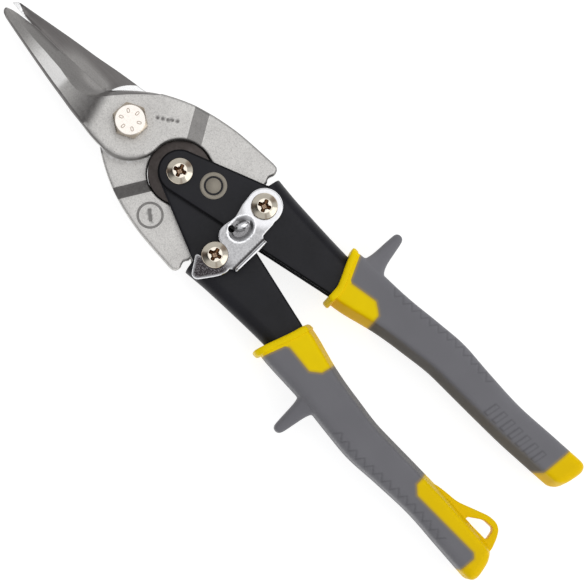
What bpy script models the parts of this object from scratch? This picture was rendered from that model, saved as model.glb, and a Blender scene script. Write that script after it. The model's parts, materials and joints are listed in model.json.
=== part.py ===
"""Aviation snips (compound-action, straight cut), closed and latched, lying on their back.

Lengths in this script are millimetres, and every mesh is scaled to metres. The design frame has the main
pivot at the origin, +X towards the blade tips, +Z towards the side with the bolt head, and the tool's mirror
line along X. The whole tool then stands in the row frame, whose origin is the bottom centre of its box.

The two blades are one forging, and the second lies turned half round the X axis. The same holds for the two
channel handles. So each of them is drawn once, for the side that the front blade's tail goes to, where
u = -y is the distance outwards from the mirror line.
"""

import math

import bmesh
import bpy
import numpy as np
from mathutils import Matrix, Vector

MM = 0.001

# The row frame's origin seen from the design frame: middle of the length, and the level it rests on.
MID_X = -67.0
REST_Z = -9.3

# Linkage. The handles turn on each other at HANDLE_PIVOT, and each blade tail is pinned to a handle.
PIVOT = (0.0, 0.0)
HANDLE_PIVOT = (-23.9, 0.0)
LINK_X, LINK_U = -52.5, 11.7
RIGHT_LINK = (LINK_X, -LINK_U)
LEFT_LINK = (LINK_X, LINK_U)

GAP = 0.3

# Blades: plan outline of the front one, jaw on the +y side, tail on the -y side.
BLADE_INNER_Z, BOSS_Z = 0.15, 4.8
TAIL_BACK_Z, TAIL_FRONT_Z = -1.75, 3.45
TIP_Z = 2.5
BOSS_R, NOTCH_R, TAIL_EYE_R = 13.0, 11.0, 8.0
CUTTING_EDGE = [(58.0, 1.9), (55.6, 1.2), (50.4, 0.2), (46.5, -0.3), (30.0, -0.8), (14.0, -1.6)]
BLADE_BACK = [(13.6, -2.0), (10.5, -5.0), (6.0, -9.3), (1.0, -13.3), (-5.0, -16.8), (-12.0, -19.9),
              (-20.0, -22.3), (-30.0, -24.0), (-44.0, -24.9)]
TAIL_END = [(-45.9, -24.5), (-46.8, -23.2), (-46.9, -21.9), (-46.3, -20.5), (-46.9, -19.1)]
FRONT_JAW_BACK = [(-1.1, 12.95), (5.0, 12.85), (12.0, 12.0), (22.3, 10.6), (32.4, 9.1), (45.4, 6.75),
                  (53.0, 5.2), (56.8, 4.1)]
REAR_JAW_BACK = [(-1.1, 12.7), (4.5, 11.6), (9.5, 10.7), (18.6, 9.1), (28.0, 7.4), (41.9, 4.9),
                 (51.3, 3.2), (56.4, 2.3)]
# The step between boss and tail runs square to this direction, and starts at this distance from the pivot.
STEP_DIR = Vector((-0.86, -0.51, 0.0)).normalized()
STEP_AT, FRONT_RAMP, BACK_RAMP = 20.0, 5.3, 4.4

# Handles: channels folded from sheet, the right one in front of the left at the pivot.
WALL = 1.2
CHANNEL_FRONT_Z, CHANNEL_BACK_Z = 6.05, -4.15
HANDLE_EYE_R = 7.5
BEND_R = 4.8
SPINE_START = (-49.2, 22.3)
WALL_CORNER = (-48.8, 20.2)
INNER_EDGE_END = (-89.5, 6.9)
SPINE = [(-49.2, 22.3), (-60.0, 21.4), (-86.0, 20.6), (-101.0, 21.6), (-115.0, 22.5), (-131.0, 24.0),
         (-146.0, 23.4), (-161.0, 22.8), (-176.0, 23.5)]
TANG_INNER = [(-89.5, 6.9), (-107.0, 12.0), (-120.0, 13.9), (-134.0, 15.4), (-148.0, 15.4),
              (-163.0, 15.7), (-176.0, 16.4)]

# Grips: distance outwards of their inner and outer sides, and half their height.
GRIP_INNER = [(-84.0, 4.3), (-92.0, 5.4), (-100.0, 7.3), (-107.0, 8.8), (-120.0, 10.8), (-134.0, 12.4),
              (-148.0, 12.5), (-163.0, 12.7), (-176.0, 13.4), (-192.0, 14.4)]
GRIP_OUTER = [(-84.0, 23.0), (-94.0, 24.2), (-108.0, 24.8), (-121.0, 26.2), (-133.0, 27.2),
              (-146.0, 26.4), (-160.0, 25.8), (-175.0, 26.7), (-192.0, 27.9)]
GRIP_HALF_Z = [(-84.0, 8.6), (-100.0, 8.6), (-117.0, 9.3), (-192.0, 9.3)]
GRIP_CORNER_R = 3.3
COLLAR_TILT = 0.32
CAP_TILT = -0.2
RIGHT_COLLAR_X, LEFT_COLLAR_X, COLLAR_T = -87.0, -88.3, 2.6
GRIP_END_X = -191.37
OVERMOULD_T = 1.2
TANG_END_X = -176.0
RIGHT_GUARD_X, LEFT_GUARD_X = -92.4, -109.6

# Fasteners.
BOLT_R, BOLT_HEX_R, BOLT_HEAD_H, BOLT_DISC_R = 3.05, 6.35, 4.0, 5.0
SCREW_HEAD_R, SCREW_HEAD_H = 4.55, 1.9
SCREW_R, BARREL_R, BARREL_HOLE_R, TAIL_HOLE_R = 1.6, 2.7, 3.0, 3.2
NUT_HEAD_H = 1.5
RECESS_LENGTH, RECESS_WIDTH, RECESS_DEPTH = 4.4, 1.15, 1.3

# Spring and the discs that keep it.
SPRING_R, SPRING_WIRE_R, SPRING_RISE, SPRING_LEG = 6.2, 0.7, 2.3, 24.0
SPRING_EXIT = 9.0
DISC_R, DISC_Z, DISC_T = 9.4, 2.15, 0.5

# Latch plate.
LATCH_Z, LATCH_T = 7.15, 1.5
LATCH_EYE_R = 6.4
LATCH_FLANGE_X, LATCH_FLANGE_Z = -61.4, 11.4

BLACK = (0.012, 0.012, 0.014)
STEEL = (0.62, 0.61, 0.59)
CHROME = (0.78, 0.78, 0.78)
NICKEL = (0.66, 0.63, 0.57)
YELLOW = (0.72, 0.50, 0.006)
GREY = (0.16, 0.16, 0.175)


# ---- curves and rings ----

def through(knots):
    """A smooth function through the knots, with no overshoot between them."""
    knots = sorted(knots)
    xs = np.array([k[0] for k in knots])
    ys = np.array([k[1] for k in knots])
    step = np.diff(ys) / np.diff(xs)
    slope = np.concatenate([step[:1], np.zeros(len(xs) - 2), step[-1:]])
    for i in range(1, len(xs) - 1):
        if step[i - 1] * step[i] > 0:
            slope[i] = 2 * step[i - 1] * step[i] / (step[i - 1] + step[i])

    def at(x):
        i = int(np.clip(np.searchsorted(xs, x) - 1, 0, len(xs) - 2))
        h = xs[i + 1] - xs[i]
        t = float(np.clip((x - xs[i]) / h, 0, 1))
        return (ys[i] * (1 + 2 * t) * (1 - t) ** 2 + ys[i + 1] * t * t * (3 - 2 * t)
                + h * slope[i] * t * (1 - t) ** 2 + h * slope[i + 1] * t * t * (t - 1))

    return at


def along(curve, x0, x1, count):
    return [(x, curve(x)) for x in np.linspace(x0, x1, count)]


def arc(centre, r, start, end, count):
    """Points of an arc from start to end, in degrees."""
    return [(centre[0] + r * math.cos(math.radians(a)), centre[1] + r * math.sin(math.radians(a)))
            for a in np.linspace(start, end, count)]


def tangent_angle(centre, r, point, turn):
    """Where a line from the point touches the circle, as an angle; turn is +1 or -1 for the side."""
    dx, dy = point[0] - centre[0], point[1] - centre[1]
    return math.degrees(math.atan2(dy, dx) + turn * math.acos(r / math.hypot(dx, dy)))


def circle(centre, r, z, count=32):
    return [(x, y, z) for x, y in arc(centre, r, 0, 360 - 360 / count, count)]


def rounded_rect(u0, u1, z0, z1, r, per_corner=3):
    """(u, z) points of a rectangle with round corners, as one ring."""
    r = min(r, (u1 - u0) / 2 - 0.01, (z1 - z0) / 2 - 0.01)
    corners = [((u1 - r, z1 - r), 0), ((u0 + r, z1 - r), 90), ((u0 + r, z0 + r), 180), ((u1 - r, z0 + r), 270)]
    return [p for centre, start in corners for p in arc(centre, r, start, start + 90, per_corner + 1)]


# ---- solids: each is a list of vertices and a list of faces ----

def loft(rings):
    """A closed solid through rings of equal length, with a flat face at each end."""
    n = len(rings[0])
    verts = [p for ring in rings for p in ring]
    faces = [(i * n + j, i * n + (j + 1) % n, (i + 1) * n + (j + 1) % n, (i + 1) * n + j)
             for i in range(len(rings) - 1) for j in range(n)]
    last = (len(rings) - 1) * n
    return verts, faces + [tuple(range(n)), tuple(range(last, last + n))]


def prism(outline, z0, z1):
    return loft([[(x, y, z) for x, y in outline] for z in (z0, z1)])


def turned(centre, profile, steps=32):
    """A solid of revolution about a Z axis, from (radius, z) points that start and end off the axis."""
    return loft([circle(centre, r, z, steps) for r, z in profile])


def ring_solid(centre, profile, steps=32):
    """A ring turned about a Z axis from a closed (radius, z) profile."""
    m = len(profile)
    verts = [p for r, z in profile for p in circle(centre, r, z, steps)]
    faces = [(i * steps + j, i * steps + (j + 1) % steps,
              (i + 1) % m * steps + (j + 1) % steps, (i + 1) % m * steps + j)
             for i in range(m) for j in range(steps)]
    return verts, faces


def swept_profile(profile, start, direction, half_width):
    """A prism whose (s, z) profile runs from start along the direction, drawn out to both sides."""
    side = Vector((-direction.y, direction.x, 0.0))
    return loft([[tuple(start + direction * s + side * w + Vector((0, 0, z))) for s, z in profile]
                 for w in (-half_width, half_width)])


def beyond_plane(a, b, c, reach=60.0):
    """A block with one face through three points, on the side that their normal points to."""
    a, b, c = Vector(a), Vector(b), Vector(c)
    along_edge = (b - a).normalized()
    normal = along_edge.cross(c - a).normalized()
    across = normal.cross(along_edge)
    corners = [(-1, -1), (1, -1), (1, 1), (-1, 1)]
    return loft([[tuple(a + along_edge * reach * i + across * reach * j + normal * h) for i, j in corners]
                 for h in (0.0, reach)])


# ---- objects ----

def clear_scene():
    for obj in list(bpy.data.objects):
        bpy.data.objects.remove(obj, do_unlink=True)


def material(name, colour, roughness, metallic):
    found = bpy.data.materials.new(name)
    found.use_nodes = True
    shader = found.node_tree.nodes["Principled BSDF"]
    shader.inputs["Base Color"].default_value = (*colour, 1.0)
    shader.inputs["Roughness"].default_value = roughness
    shader.inputs["Metallic"].default_value = metallic
    return found


def body_empty(name, axis, frame):
    """An empty on a body's joint axis, which the body's pieces are parented to."""
    empty = bpy.data.objects.new(name, None)
    bpy.context.scene.collection.objects.link(empty)
    empty.parent = frame
    empty.location = (axis[0] * MM, axis[1] * MM, 0.0)
    return empty


def make(name, shape, body, flipped=False, mat=None):
    """An object of the shape, drawn in the design frame. Without a material it is a cutter or a helper."""
    mesh = bpy.data.meshes.new(name)
    mesh.from_pydata([Vector(v) * MM for v in shape[0]], [], shape[1])
    bm = bmesh.new()
    bm.from_mesh(mesh)
    bmesh.ops.recalc_face_normals(bm, faces=bm.faces)
    bm.to_mesh(mesh)
    bm.free()
    obj = bpy.data.objects.new(name, mesh)
    bpy.context.scene.collection.objects.link(obj)
    obj.parent = body
    obj.location = -body.location
    if flipped:
        obj.rotation_euler.x = math.pi
    if mat:
        mesh.materials.append(mat)
        mesh.shade_smooth()
        mesh.set_sharp_from_angle(angle=math.radians(35))
    else:
        obj.hide_render = True
        obj.display_type = "WIRE"
    return obj


def combine(obj, other, operation):
    modifier = obj.modifiers.new(other.name, "BOOLEAN")
    modifier.operation = operation
    modifier.object = other
    return obj


# ---- blades ----

def blade_outline(jaw_back):
    back, outer = through(BLADE_BACK), through(jaw_back)
    outline = list(CUTTING_EDGE)
    outline += along(back, BLADE_BACK[0][0], BLADE_BACK[-1][0], 20)
    outline += TAIL_END
    outline += arc(RIGHT_LINK, TAIL_EYE_R, -55, -285, 12)
    outline += arc(HANDLE_PIVOT, NOTCH_R, -110, -10, 10)
    outline += arc(PIVOT, BOSS_R, 174, 100, 7)
    outline += along(outer, jaw_back[0][0], jaw_back[-1][0], 16)
    outline.append(((CUTTING_EDGE[0][0] + jaw_back[-1][0]) / 2 + 0.5, (CUTTING_EDGE[0][1] + jaw_back[-1][1]) / 2))
    return outline


def blade(name, jaw_back, flank_width, body, flipped, mat):
    """One forging: boss and jaw in one plane, a tail that steps across to lie mid-channel."""
    obj = make(name, prism(blade_outline(jaw_back), TAIL_BACK_Z, BOSS_Z), body, flipped, mat)
    step = STEP_DIR * STEP_AT
    far, high = 90.0, 12.0
    tail_front = [(0, BOSS_Z), (FRONT_RAMP, TAIL_FRONT_Z), (far, TAIL_FRONT_Z), (far, high), (0, high)]
    boss_back = [(-far, BLADE_INNER_Z), (0, BLADE_INNER_Z), (BACK_RAMP, TAIL_BACK_Z), (BACK_RAMP, -high),
                 (-far, -high)]
    (tip_x, tip_y), (root_x, root_y) = jaw_back[-2], jaw_back[-4]
    cutters = {
        "tail_front": swept_profile(tail_front, step, STEP_DIR, far),
        "boss_back": swept_profile(boss_back, step, STEP_DIR, far),
        "jaw_top": beyond_plane((16, 0, BOSS_Z), (58, 0, TIP_Z), (16, 20, BOSS_Z)),
        "flank": beyond_plane((tip_x, tip_y, 1.0), (root_x, root_y, 1.0),
                              (root_x, root_y - flank_width, BOSS_Z)),
        "bevel": ground_bevel(),
        "pivot_hole": prism(arc(PIVOT, BOLT_R + GAP, 0, 352, 36), -high, high),
        "link_hole": prism(arc(RIGHT_LINK, TAIL_HOLE_R, 0, 352, 24), -high, high),
    }
    for part, shape in cutters.items():
        combine(obj, make(f"{name}_{part}", shape, body, flipped), "DIFFERENCE")
    return obj


def ground_bevel():
    """What the grinding wheel takes off along the cutting edge, ending in a hollow at the boss."""
    (x0, y0), (x1, y1) = CUTTING_EDGE[-1], CUTTING_EDGE[3]
    edge = Vector((x1 - x0, y1 - y0, 0.0)).normalized()
    inward = Vector((-edge.y, edge.x, 0.0))
    low, width, top = 1.0, 4.3, 5.2
    profile = [(-6.0, low - 6.0 * (top - low) / width), (width, top), (width, 9.0), (-6.0, 9.0)]
    origin = Vector((x0, y0, 0.0))
    return loft([[tuple(origin + edge * s + inward * w + Vector((0, 0, z))) for w, z in profile]
                 for s in (0.6, 60.0)])


# ---- channel handles ----

def channel_ring(z, inset, grow=0.0):
    """Plan outline of the folded sheet at one height, its spine drawn in by the inset."""
    spine = through(SPINE)
    tang = through(TANG_INNER)
    top = tangent_angle(HANDLE_PIVOT, HANDLE_EYE_R, WALL_CORNER, -1)
    low = tangent_angle(HANDLE_PIVOT, HANDLE_EYE_R, INNER_EDGE_END, 1) - 360
    ring = arc(HANDLE_PIVOT, HANDLE_EYE_R, top, low, 15)
    ring += along(tang, INNER_EDGE_END[0], TANG_END_X, 11)
    ring += [(x, u - inset) for x, u in along(spine, TANG_END_X, -86.0, 11)]
    ring += [(x, u - inset) for x, u in along(spine, -73.0, SPINE_START[0], 3)]
    ring.append(WALL_CORNER)
    return [(x, -u, z) for x, u in ring]


def bend_levels(z0, z1, r, steps=4):
    """(height, inset) pairs that round the two bends of a channel."""
    quarter = [(r * (1 - math.cos(a)), r * (1 - math.sin(a))) for a in np.linspace(0, math.pi / 2, steps + 1)]
    return [(z0 + h, inset) for h, inset in quarter] + [(z1 - h, inset) for h, inset in reversed(quarter)]


def channel_cavity():
    """The space inside the fold, open to the inner side, the end and the front."""
    spine = through(SPINE)
    opens_x = -47.9
    z0, z1 = CHANNEL_BACK_Z + WALL, CHANNEL_FRONT_Z - WALL
    rings = []
    for z, inset in bend_levels(z0, z1, BEND_R - WALL):
        far = [(x, u - WALL - inset) for x, u in along(spine, -180.0, -86.0, 12)]
        near = [(x, u - WALL - inset) for x, u in along(spine, -73.0, opens_x, 3)]
        ring = [(-10.0, -30.0), (-180.0, -30.0)] + far + near + [(opens_x, 40.0), (-10.0, 40.0)]
        rings.append([(x, -u, z) for x, u in ring])
    return loft(rings)


def channel_handle(name, body, flipped, mat):
    levels = bend_levels(CHANNEL_BACK_Z, CHANNEL_FRONT_Z, BEND_R)
    obj = make(name, loft([channel_ring(z, inset) for z, inset in levels]), body, flipped, mat)
    holes = {"pivot": HANDLE_PIVOT, "link": RIGHT_LINK}
    combine(obj, make(f"{name}_cavity", channel_cavity(), body, flipped), "DIFFERENCE")
    for part, centre in holes.items():
        hole = prism(arc(centre, BARREL_HOLE_R, 0, 345, 24), -12.0, 12.0)
        combine(obj, make(f"{name}_{part}_hole", hole, body, flipped), "DIFFERENCE")
    return obj


# ---- grips ----

def grip_section(x, inset, tilt):
    """One ring round the grip, drawn in by the inset. A tilted ring leans along X with distance outwards."""
    u0, u1 = through(GRIP_INNER)(x) + inset, through(GRIP_OUTER)(x) - inset
    half = through(GRIP_HALF_Z)(x) - inset
    middle = (u0 + u1) / 2
    ring = rounded_rect(u0, u1, -half, half, max(GRIP_CORNER_R - inset, 1.2))
    return [(x + tilt * (u - middle), -u, z) for u, z in ring]


def grip_loft(x0, x1, inset, round_end=False):
    """The grip's body between two stations, tilted like its collar at the front and its cap at the back."""
    tilt = through([(-86.0, COLLAR_TILT), (-96.0, COLLAR_TILT), (-118.0, 0.0), (-172.0, 0.0), (-192.0, CAP_TILT)])
    if not round_end:
        return loft([grip_section(x, inset, tilt(x)) for x in np.linspace(x0, x1, 20)])
    rings = [grip_section(x, inset, tilt(x)) for x in np.linspace(x0, x1 + 3.4, 19)]
    for back, more in ((2.0, 0.4), (0.9, 1.3), (0.2, 2.6), (0.0, 4.0)):
        rings.append(grip_section(x1 + back, inset + more, CAP_TILT))
    return loft(rings)


def grown(outline, by):
    """An outline with each side moved outwards."""
    pairs = list(zip(outline, outline[1:] + outline[:1]))
    turn = math.copysign(1.0, sum(a[0] * b[1] - b[0] * a[1] for a, b in pairs))
    lines = []
    for a, b in pairs:
        normal = Vector((b[1] - a[1], a[0] - b[0])).normalized() * turn
        lines.append((normal, normal.dot(Vector(a)) + by))
    points = []
    for (n0, d0), (n1, d1) in zip(lines[-1:] + lines[:-1], lines):
        det = n0.x * n1.y - n0.y * n1.x
        points.append(((d0 * n1.y - d1 * n0.y) / det, (n0.x * d1 - n1.x * d0) / det))
    return points


def zone(outline, grow=0.0):
    """A prism over an outline given as (x, u), where the yellow core comes to the surface."""
    return prism([(x, -u) for x, u in grown(outline, grow)], -14.0, 14.0)


COLLAR_PANEL = [(-80.0, -2.0), (-84.0, 14.4), (-102.4, 16.5), (-105.9, 14.0), (-107.3, 8.7), (-107.3, -2.0)]
RIGHT_CAP = [(-178.9, 4.0), (-178.9, 11.8), (-182.6, 16.0), (-184.0, 21.0), (-184.0, 34.0), (-198.0, 34.0),
             (-198.0, 4.0)]
LEFT_STRIP = [(-154.6, 4.0), (-154.6, 16.0), (-157.6, 19.4), (-181.0, 19.7), (-186.0, 20.7), (-187.4, 23.0),
              (-187.2, 34.0), (-198.0, 34.0), (-198.0, 4.0)]


def guard(x):
    """The horn that keeps the hand off the blades: a tapered lug across the grip's outer side."""
    stations = [(21.0, 4.4, 7.0, 6.8), (24.6, 3.7, 6.3, 6.6), (26.2, 3.3, 4.5, 6.2), (28.5, 2.9, 3.2, 5.9),
                (33.0, 2.6, 2.1, 5.2), (37.2, 2.3, 1.2, 4.5), (38.1, 1.6, 0.5, 3.9), (38.4, 0.8, -0.3, 3.2)]
    rings = []
    for u, ahead, behind, half in stations:
        ring = rounded_rect(x - behind, x + ahead, -half, half, 1.8, 2)
        rings.append([(px, -u, z) for px, z in ring])
    return loft(rings)


def hang_loop():
    """The eyelet at the end of the left grip, as an outline with a three-cornered hole."""
    outer = [(-159.0, 15.5), (-159.5, 12.3), (-169.0, 11.6), (-174.5, 9.4), (-180.0, 7.3), (-183.3, 7.1),
             (-185.6, 8.2), (-187.2, 10.8), (-188.6, 14.6), (-188.6, 17.0), (-159.0, 17.0)]
    hole = [(-175.0, 13.75), (-175.2, 12.6), (-179.8, 9.35), (-183.6, 9.2), (-184.5, 10.2), (-185.2, 13.75)]
    return prism([(x, -u) for x, u in outer], -3.0, 3.0), prism([(x, -u) for x, u in hole], -5.0, 5.0)


def grip_hollow():
    """The blind slot that the handle's tang sits in."""
    spine, tang = through(SPINE), through(TANG_INNER)
    outer = [(x, -u - GAP) for x, u in along(spine, -80.0, TANG_END_X, 12)]
    inner = [(x, -u + GAP) for x, u in along(tang, TANG_END_X, -89.5, 10)]
    lead_in = (-80.0, -INNER_EDGE_END[1] + 2.5)
    end = [(TANG_END_X - GAP, outer[-1][1]), (TANG_END_X - GAP, inner[0][1])]
    return prism(outer + end + inner + [lead_in], CHANNEL_BACK_Z - GAP, CHANNEL_FRONT_Z + GAP)


def collar(x):
    rings = []
    for back, inset in ((0.0, 0.0), (0.5, -0.6), (COLLAR_T - 0.5, -0.6), (COLLAR_T, 0.0)):
        ring = grip_section(x - back, inset, COLLAR_TILT)
        rings.append([(px, y, float(np.clip(z, REST_Z, -REST_Z))) for px, y, z in ring])
    return loft(rings)


def grip_core(name, zones, collar_x, body, flipped, mat, loop=False):
    """The hard inner sleeve: collar, tube, and the patches that show through the overmould."""
    back_x = collar_x - COLLAR_T + 0.4
    obj = make(name, grip_loft(back_x, GRIP_END_X + 6, OVERMOULD_T + GAP), body, flipped, mat)
    skin = grip_loft(back_x, GRIP_END_X, 0.0, round_end=True)
    for i, outline in enumerate(zones):
        patch = make(f"{name}_patch_{i}", skin, body, flipped)
        combine(patch, make(f"{name}_zone_{i}", zone(outline), body, flipped), "INTERSECT")
        combine(obj, patch, "UNION")
    combine(obj, make(f"{name}_collar", collar(collar_x), body, flipped), "UNION")
    if loop:
        web, hole = hang_loop()
        combine(obj, make(f"{name}_loop", web, body, flipped), "UNION")
        combine(obj, make(f"{name}_loop_hole", hole, body, flipped), "DIFFERENCE")
    return combine(obj, make(f"{name}_hollow", grip_hollow(), body, flipped), "DIFFERENCE")


def overmould(name, zones, collar_x, guard_x, body, flipped, mat):
    """The soft sleeve over the core, with windows where the core comes to the surface."""
    front_x = collar_x - COLLAR_T - GAP
    obj = make(name, grip_loft(front_x, GRIP_END_X, 0.0, round_end=True), body, flipped, mat)
    combine(obj, make(f"{name}_guard", guard(guard_x), body, flipped), "UNION")
    bore = make(f"{name}_bore", grip_loft(front_x + 2, GRIP_END_X - 2, OVERMOULD_T), body, flipped)
    combine(obj, bore, "DIFFERENCE")
    for i, outline in enumerate(zones):
        window = make(f"{name}_window_{i}", zone(outline, GAP), body, flipped)
        combine(obj, window, "DIFFERENCE")
    return obj


# ---- fasteners, spring and latch ----

def dome(base_z, height, radius, up=1):
    """(radius, z) points of a low domed head, from its base to its top."""
    curve = [(1.0, 0.0), (1.0, 0.35), (0.93, 0.6), (0.76, 0.83), (0.5, 0.96), (0.2, 1.0)]
    return [(radius * r, base_z + up * height * h) for r, h in curve]


def cross_recess(centre, top_z):
    """Two crossed bars, tapered downwards, as one list of separate cutters."""
    half, wide = RECESS_LENGTH / 2, RECESS_WIDTH / 2
    bars = []
    for turn in (0.0, math.pi / 2):
        c, s = math.cos(turn + 0.35), math.sin(turn + 0.35)
        rings = []
        for z, k in ((top_z - RECESS_DEPTH, 0.62), (top_z + 1.0, 1.0)):
            rect = [(-half * k, -wide * k), (half * k, -wide * k), (half * k, wide * k), (-half * k, wide * k)]
            rings.append([(centre[0] + a * c - b * s, centre[1] + a * s + b * c, z) for a, b in rect])
        bars.append(loft(rings))
    return bars


def cross_screw(name, centre, head_z, end_z, body, mat):
    """A domed cross-recess screw, its shank reaching down into the barrel nut behind."""
    profile = list(reversed(dome(head_z, SCREW_HEAD_H, SCREW_HEAD_R))) + [(SCREW_R, head_z), (SCREW_R, end_z)]
    obj = make(name, turned(centre, profile), body, mat=mat)
    for i, bar in enumerate(cross_recess(centre, head_z + SCREW_HEAD_H)):
        combine(obj, make(f"{name}_recess_{i}", bar, body), "DIFFERENCE")
    return obj


def barrel_nut(name, centre, head_z, barrel_top, body, mat):
    """A domed nut whose barrel is the bearing for the pieces on it. Its bore is open at the front."""
    bore = SCREW_R + 0.35
    profile = list(reversed(dome(head_z, NUT_HEAD_H, SCREW_HEAD_R, up=-1)))
    profile += [(BARREL_R, head_z), (BARREL_R, barrel_top), (bore, barrel_top), (bore, head_z - NUT_HEAD_H * 0.4)]
    obj = make(name, turned(centre, profile), body, mat=mat)
    x, y = centre
    low = head_z - NUT_HEAD_H
    slot = prism([(x - 6, y - 0.6), (x + 6, y - 0.6), (x + 6, y + 0.6), (x - 6, y + 0.6)], low - 2, low + 0.6)
    return combine(obj, make(f"{name}_slot", slot, body), "DIFFERENCE")


def washer(name, centre, outer_r, inner_r, z0, z1, body, mat, steps=32):
    return make(name, ring_solid(centre, [(inner_r, z0), (outer_r, z0), (outer_r, z1), (inner_r, z1)], steps),
                body, mat=mat)


def pivot_bolt(body, mat):
    """Hex head bolt: chamfered head with a round land on top, and a plain shank."""
    base, top = BOSS_Z + GAP, BOSS_Z + GAP + BOLT_HEAD_H
    turn = 27.0
    hexagon = arc(PIVOT, BOLT_HEX_R, turn, turn + 300, 6)
    obj = make("pivot_bolt", prism(hexagon, base, top), body, mat=mat)
    shank = prism(arc(PIVOT, BOLT_R, 0, 352, 36), REST_Z + 0.3, base + 1.0)
    combine(obj, make("pivot_bolt_shank", shank, body), "UNION")
    profile = [(9.0, top - 2.05), (9.0, top + 1.0), (BOLT_DISC_R, top + 1.0), (BOLT_DISC_R, top - 0.25)]
    return combine(obj, make("pivot_bolt_chamfer", ring_solid(PIVOT, profile, 48), body), "DIFFERENCE")


def pivot_nut(body, mat):
    outline = arc(PIVOT, BOLT_HEX_R, 25, 325, 6)
    obj = make("pivot_nut", prism(outline, REST_Z, -BOSS_Z - GAP), body, mat=mat)
    bore = prism(arc(PIVOT, BOLT_R + GAP, 0, 352, 36), -20, 0)
    return combine(obj, make("pivot_nut_bore", bore, body), "DIFFERENCE")


def return_spring(body, mat):
    """One and a half turns of round wire about the handle pivot, with two legs towards the grips."""
    curve = bpy.data.curves.new("return_spring", "CURVE")
    curve.dimensions = "3D"
    curve.bevel_depth = SPRING_WIRE_R * MM
    curve.bevel_resolution = 2
    curve.use_fill_caps = True
    start, sweep = 90.0 + SPRING_EXIT, -(540.0 + 2 * SPRING_EXIT)
    ax, ay = HANDLE_PIVOT
    points = []
    for t in np.linspace(0, 1, 44):
        a = math.radians(start + sweep * t)
        points.append((ax + SPRING_R * math.cos(a), ay + SPRING_R * math.sin(a), SPRING_RISE * (0.5 - t)))
    lean = math.radians(SPRING_EXIT)
    back = Vector((-math.cos(lean), -math.sin(lean), 0.0))
    first = [tuple(Vector(points[0]) + back * s) for s in (SPRING_LEG, SPRING_LEG / 2, 2.0)]
    out = Vector((-math.cos(lean), math.sin(lean), 0.0))
    last = [tuple(Vector(points[-1]) + out * s) for s in (2.0, SPRING_LEG / 2, SPRING_LEG)]
    points = first + points + last
    spline = curve.splines.new("POLY")
    spline.points.add(len(points) - 1)
    for point, place in zip(spline.points, points):
        point.co = (*(Vector(place) * MM), 1.0)
    obj = bpy.data.objects.new("return_spring", curve)
    bpy.context.scene.collection.objects.link(obj)
    obj.parent = body
    obj.location = -body.location
    curve.materials.append(mat)
    return obj


def latch(body, mat):
    """The plate that hooks over the far link screw: an eye, a thumb flange and a notch open towards the tips."""
    bx, by = RIGHT_LINK
    cx, cy = LEFT_LINK
    outline = arc(RIGHT_LINK, LATCH_EYE_R, 14, -196, 16)
    outline += [(-59.2, -6.0), (-59.4, 10.9), (-59.4, 13.1), (-58.3, 15.7), (-55.3, 20.0), (-54.0, 21.7),
                (-52.6, 22.1), (-51.3, 21.4), (-49.2, 18.3), (-47.8, 16.5), (-48.3, 15.35)]
    outline += [(cx + 2.0, cy + 3.15), (cx + 0.3, cy + 2.55)]
    outline += arc(LEFT_LINK, 2.3, 120, 275, 7)
    outline += [(-50.6, 7.2), (-48.6, 6.3), (-47.4, 4.7), (-47.4, 2.2), (-47.9, -1.0), (-47.4, -4.6)]
    obj = make("latch", prism(outline, LATCH_Z, LATCH_Z + LATCH_T), body, mat=mat)
    eye = prism(arc(RIGHT_LINK, BARREL_HOLE_R, 0, 345, 24), 0, 20)
    combine(obj, make("latch_eye", eye, body), "DIFFERENCE")
    combine(obj, make("latch_sight_hole", prism(arc((-50.1, 1.5), 1.1, 0, 330, 12), 0, 20), body), "DIFFERENCE")
    x0, x1 = LATCH_FLANGE_X, LATCH_FLANGE_X + LATCH_T
    flange = [(x0 + 1.2, LATCH_Z), (x1 + 2, LATCH_Z), (x1 + 2, LATCH_Z + LATCH_T - 0.2), (x1, LATCH_Z + LATCH_T + 0.5),
              (x1, LATCH_FLANGE_Z), (x0, LATCH_FLANGE_Z), (x0, LATCH_Z + 1.2), (x0 + 0.35, LATCH_Z + 0.35)]
    tab = loft([[(x, y, z) for x, z in flange] for y in (-3.8, 10.7)])
    return combine(obj, make("latch_flange", tab, body), "UNION")


# ---- the whole tool ----

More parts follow.
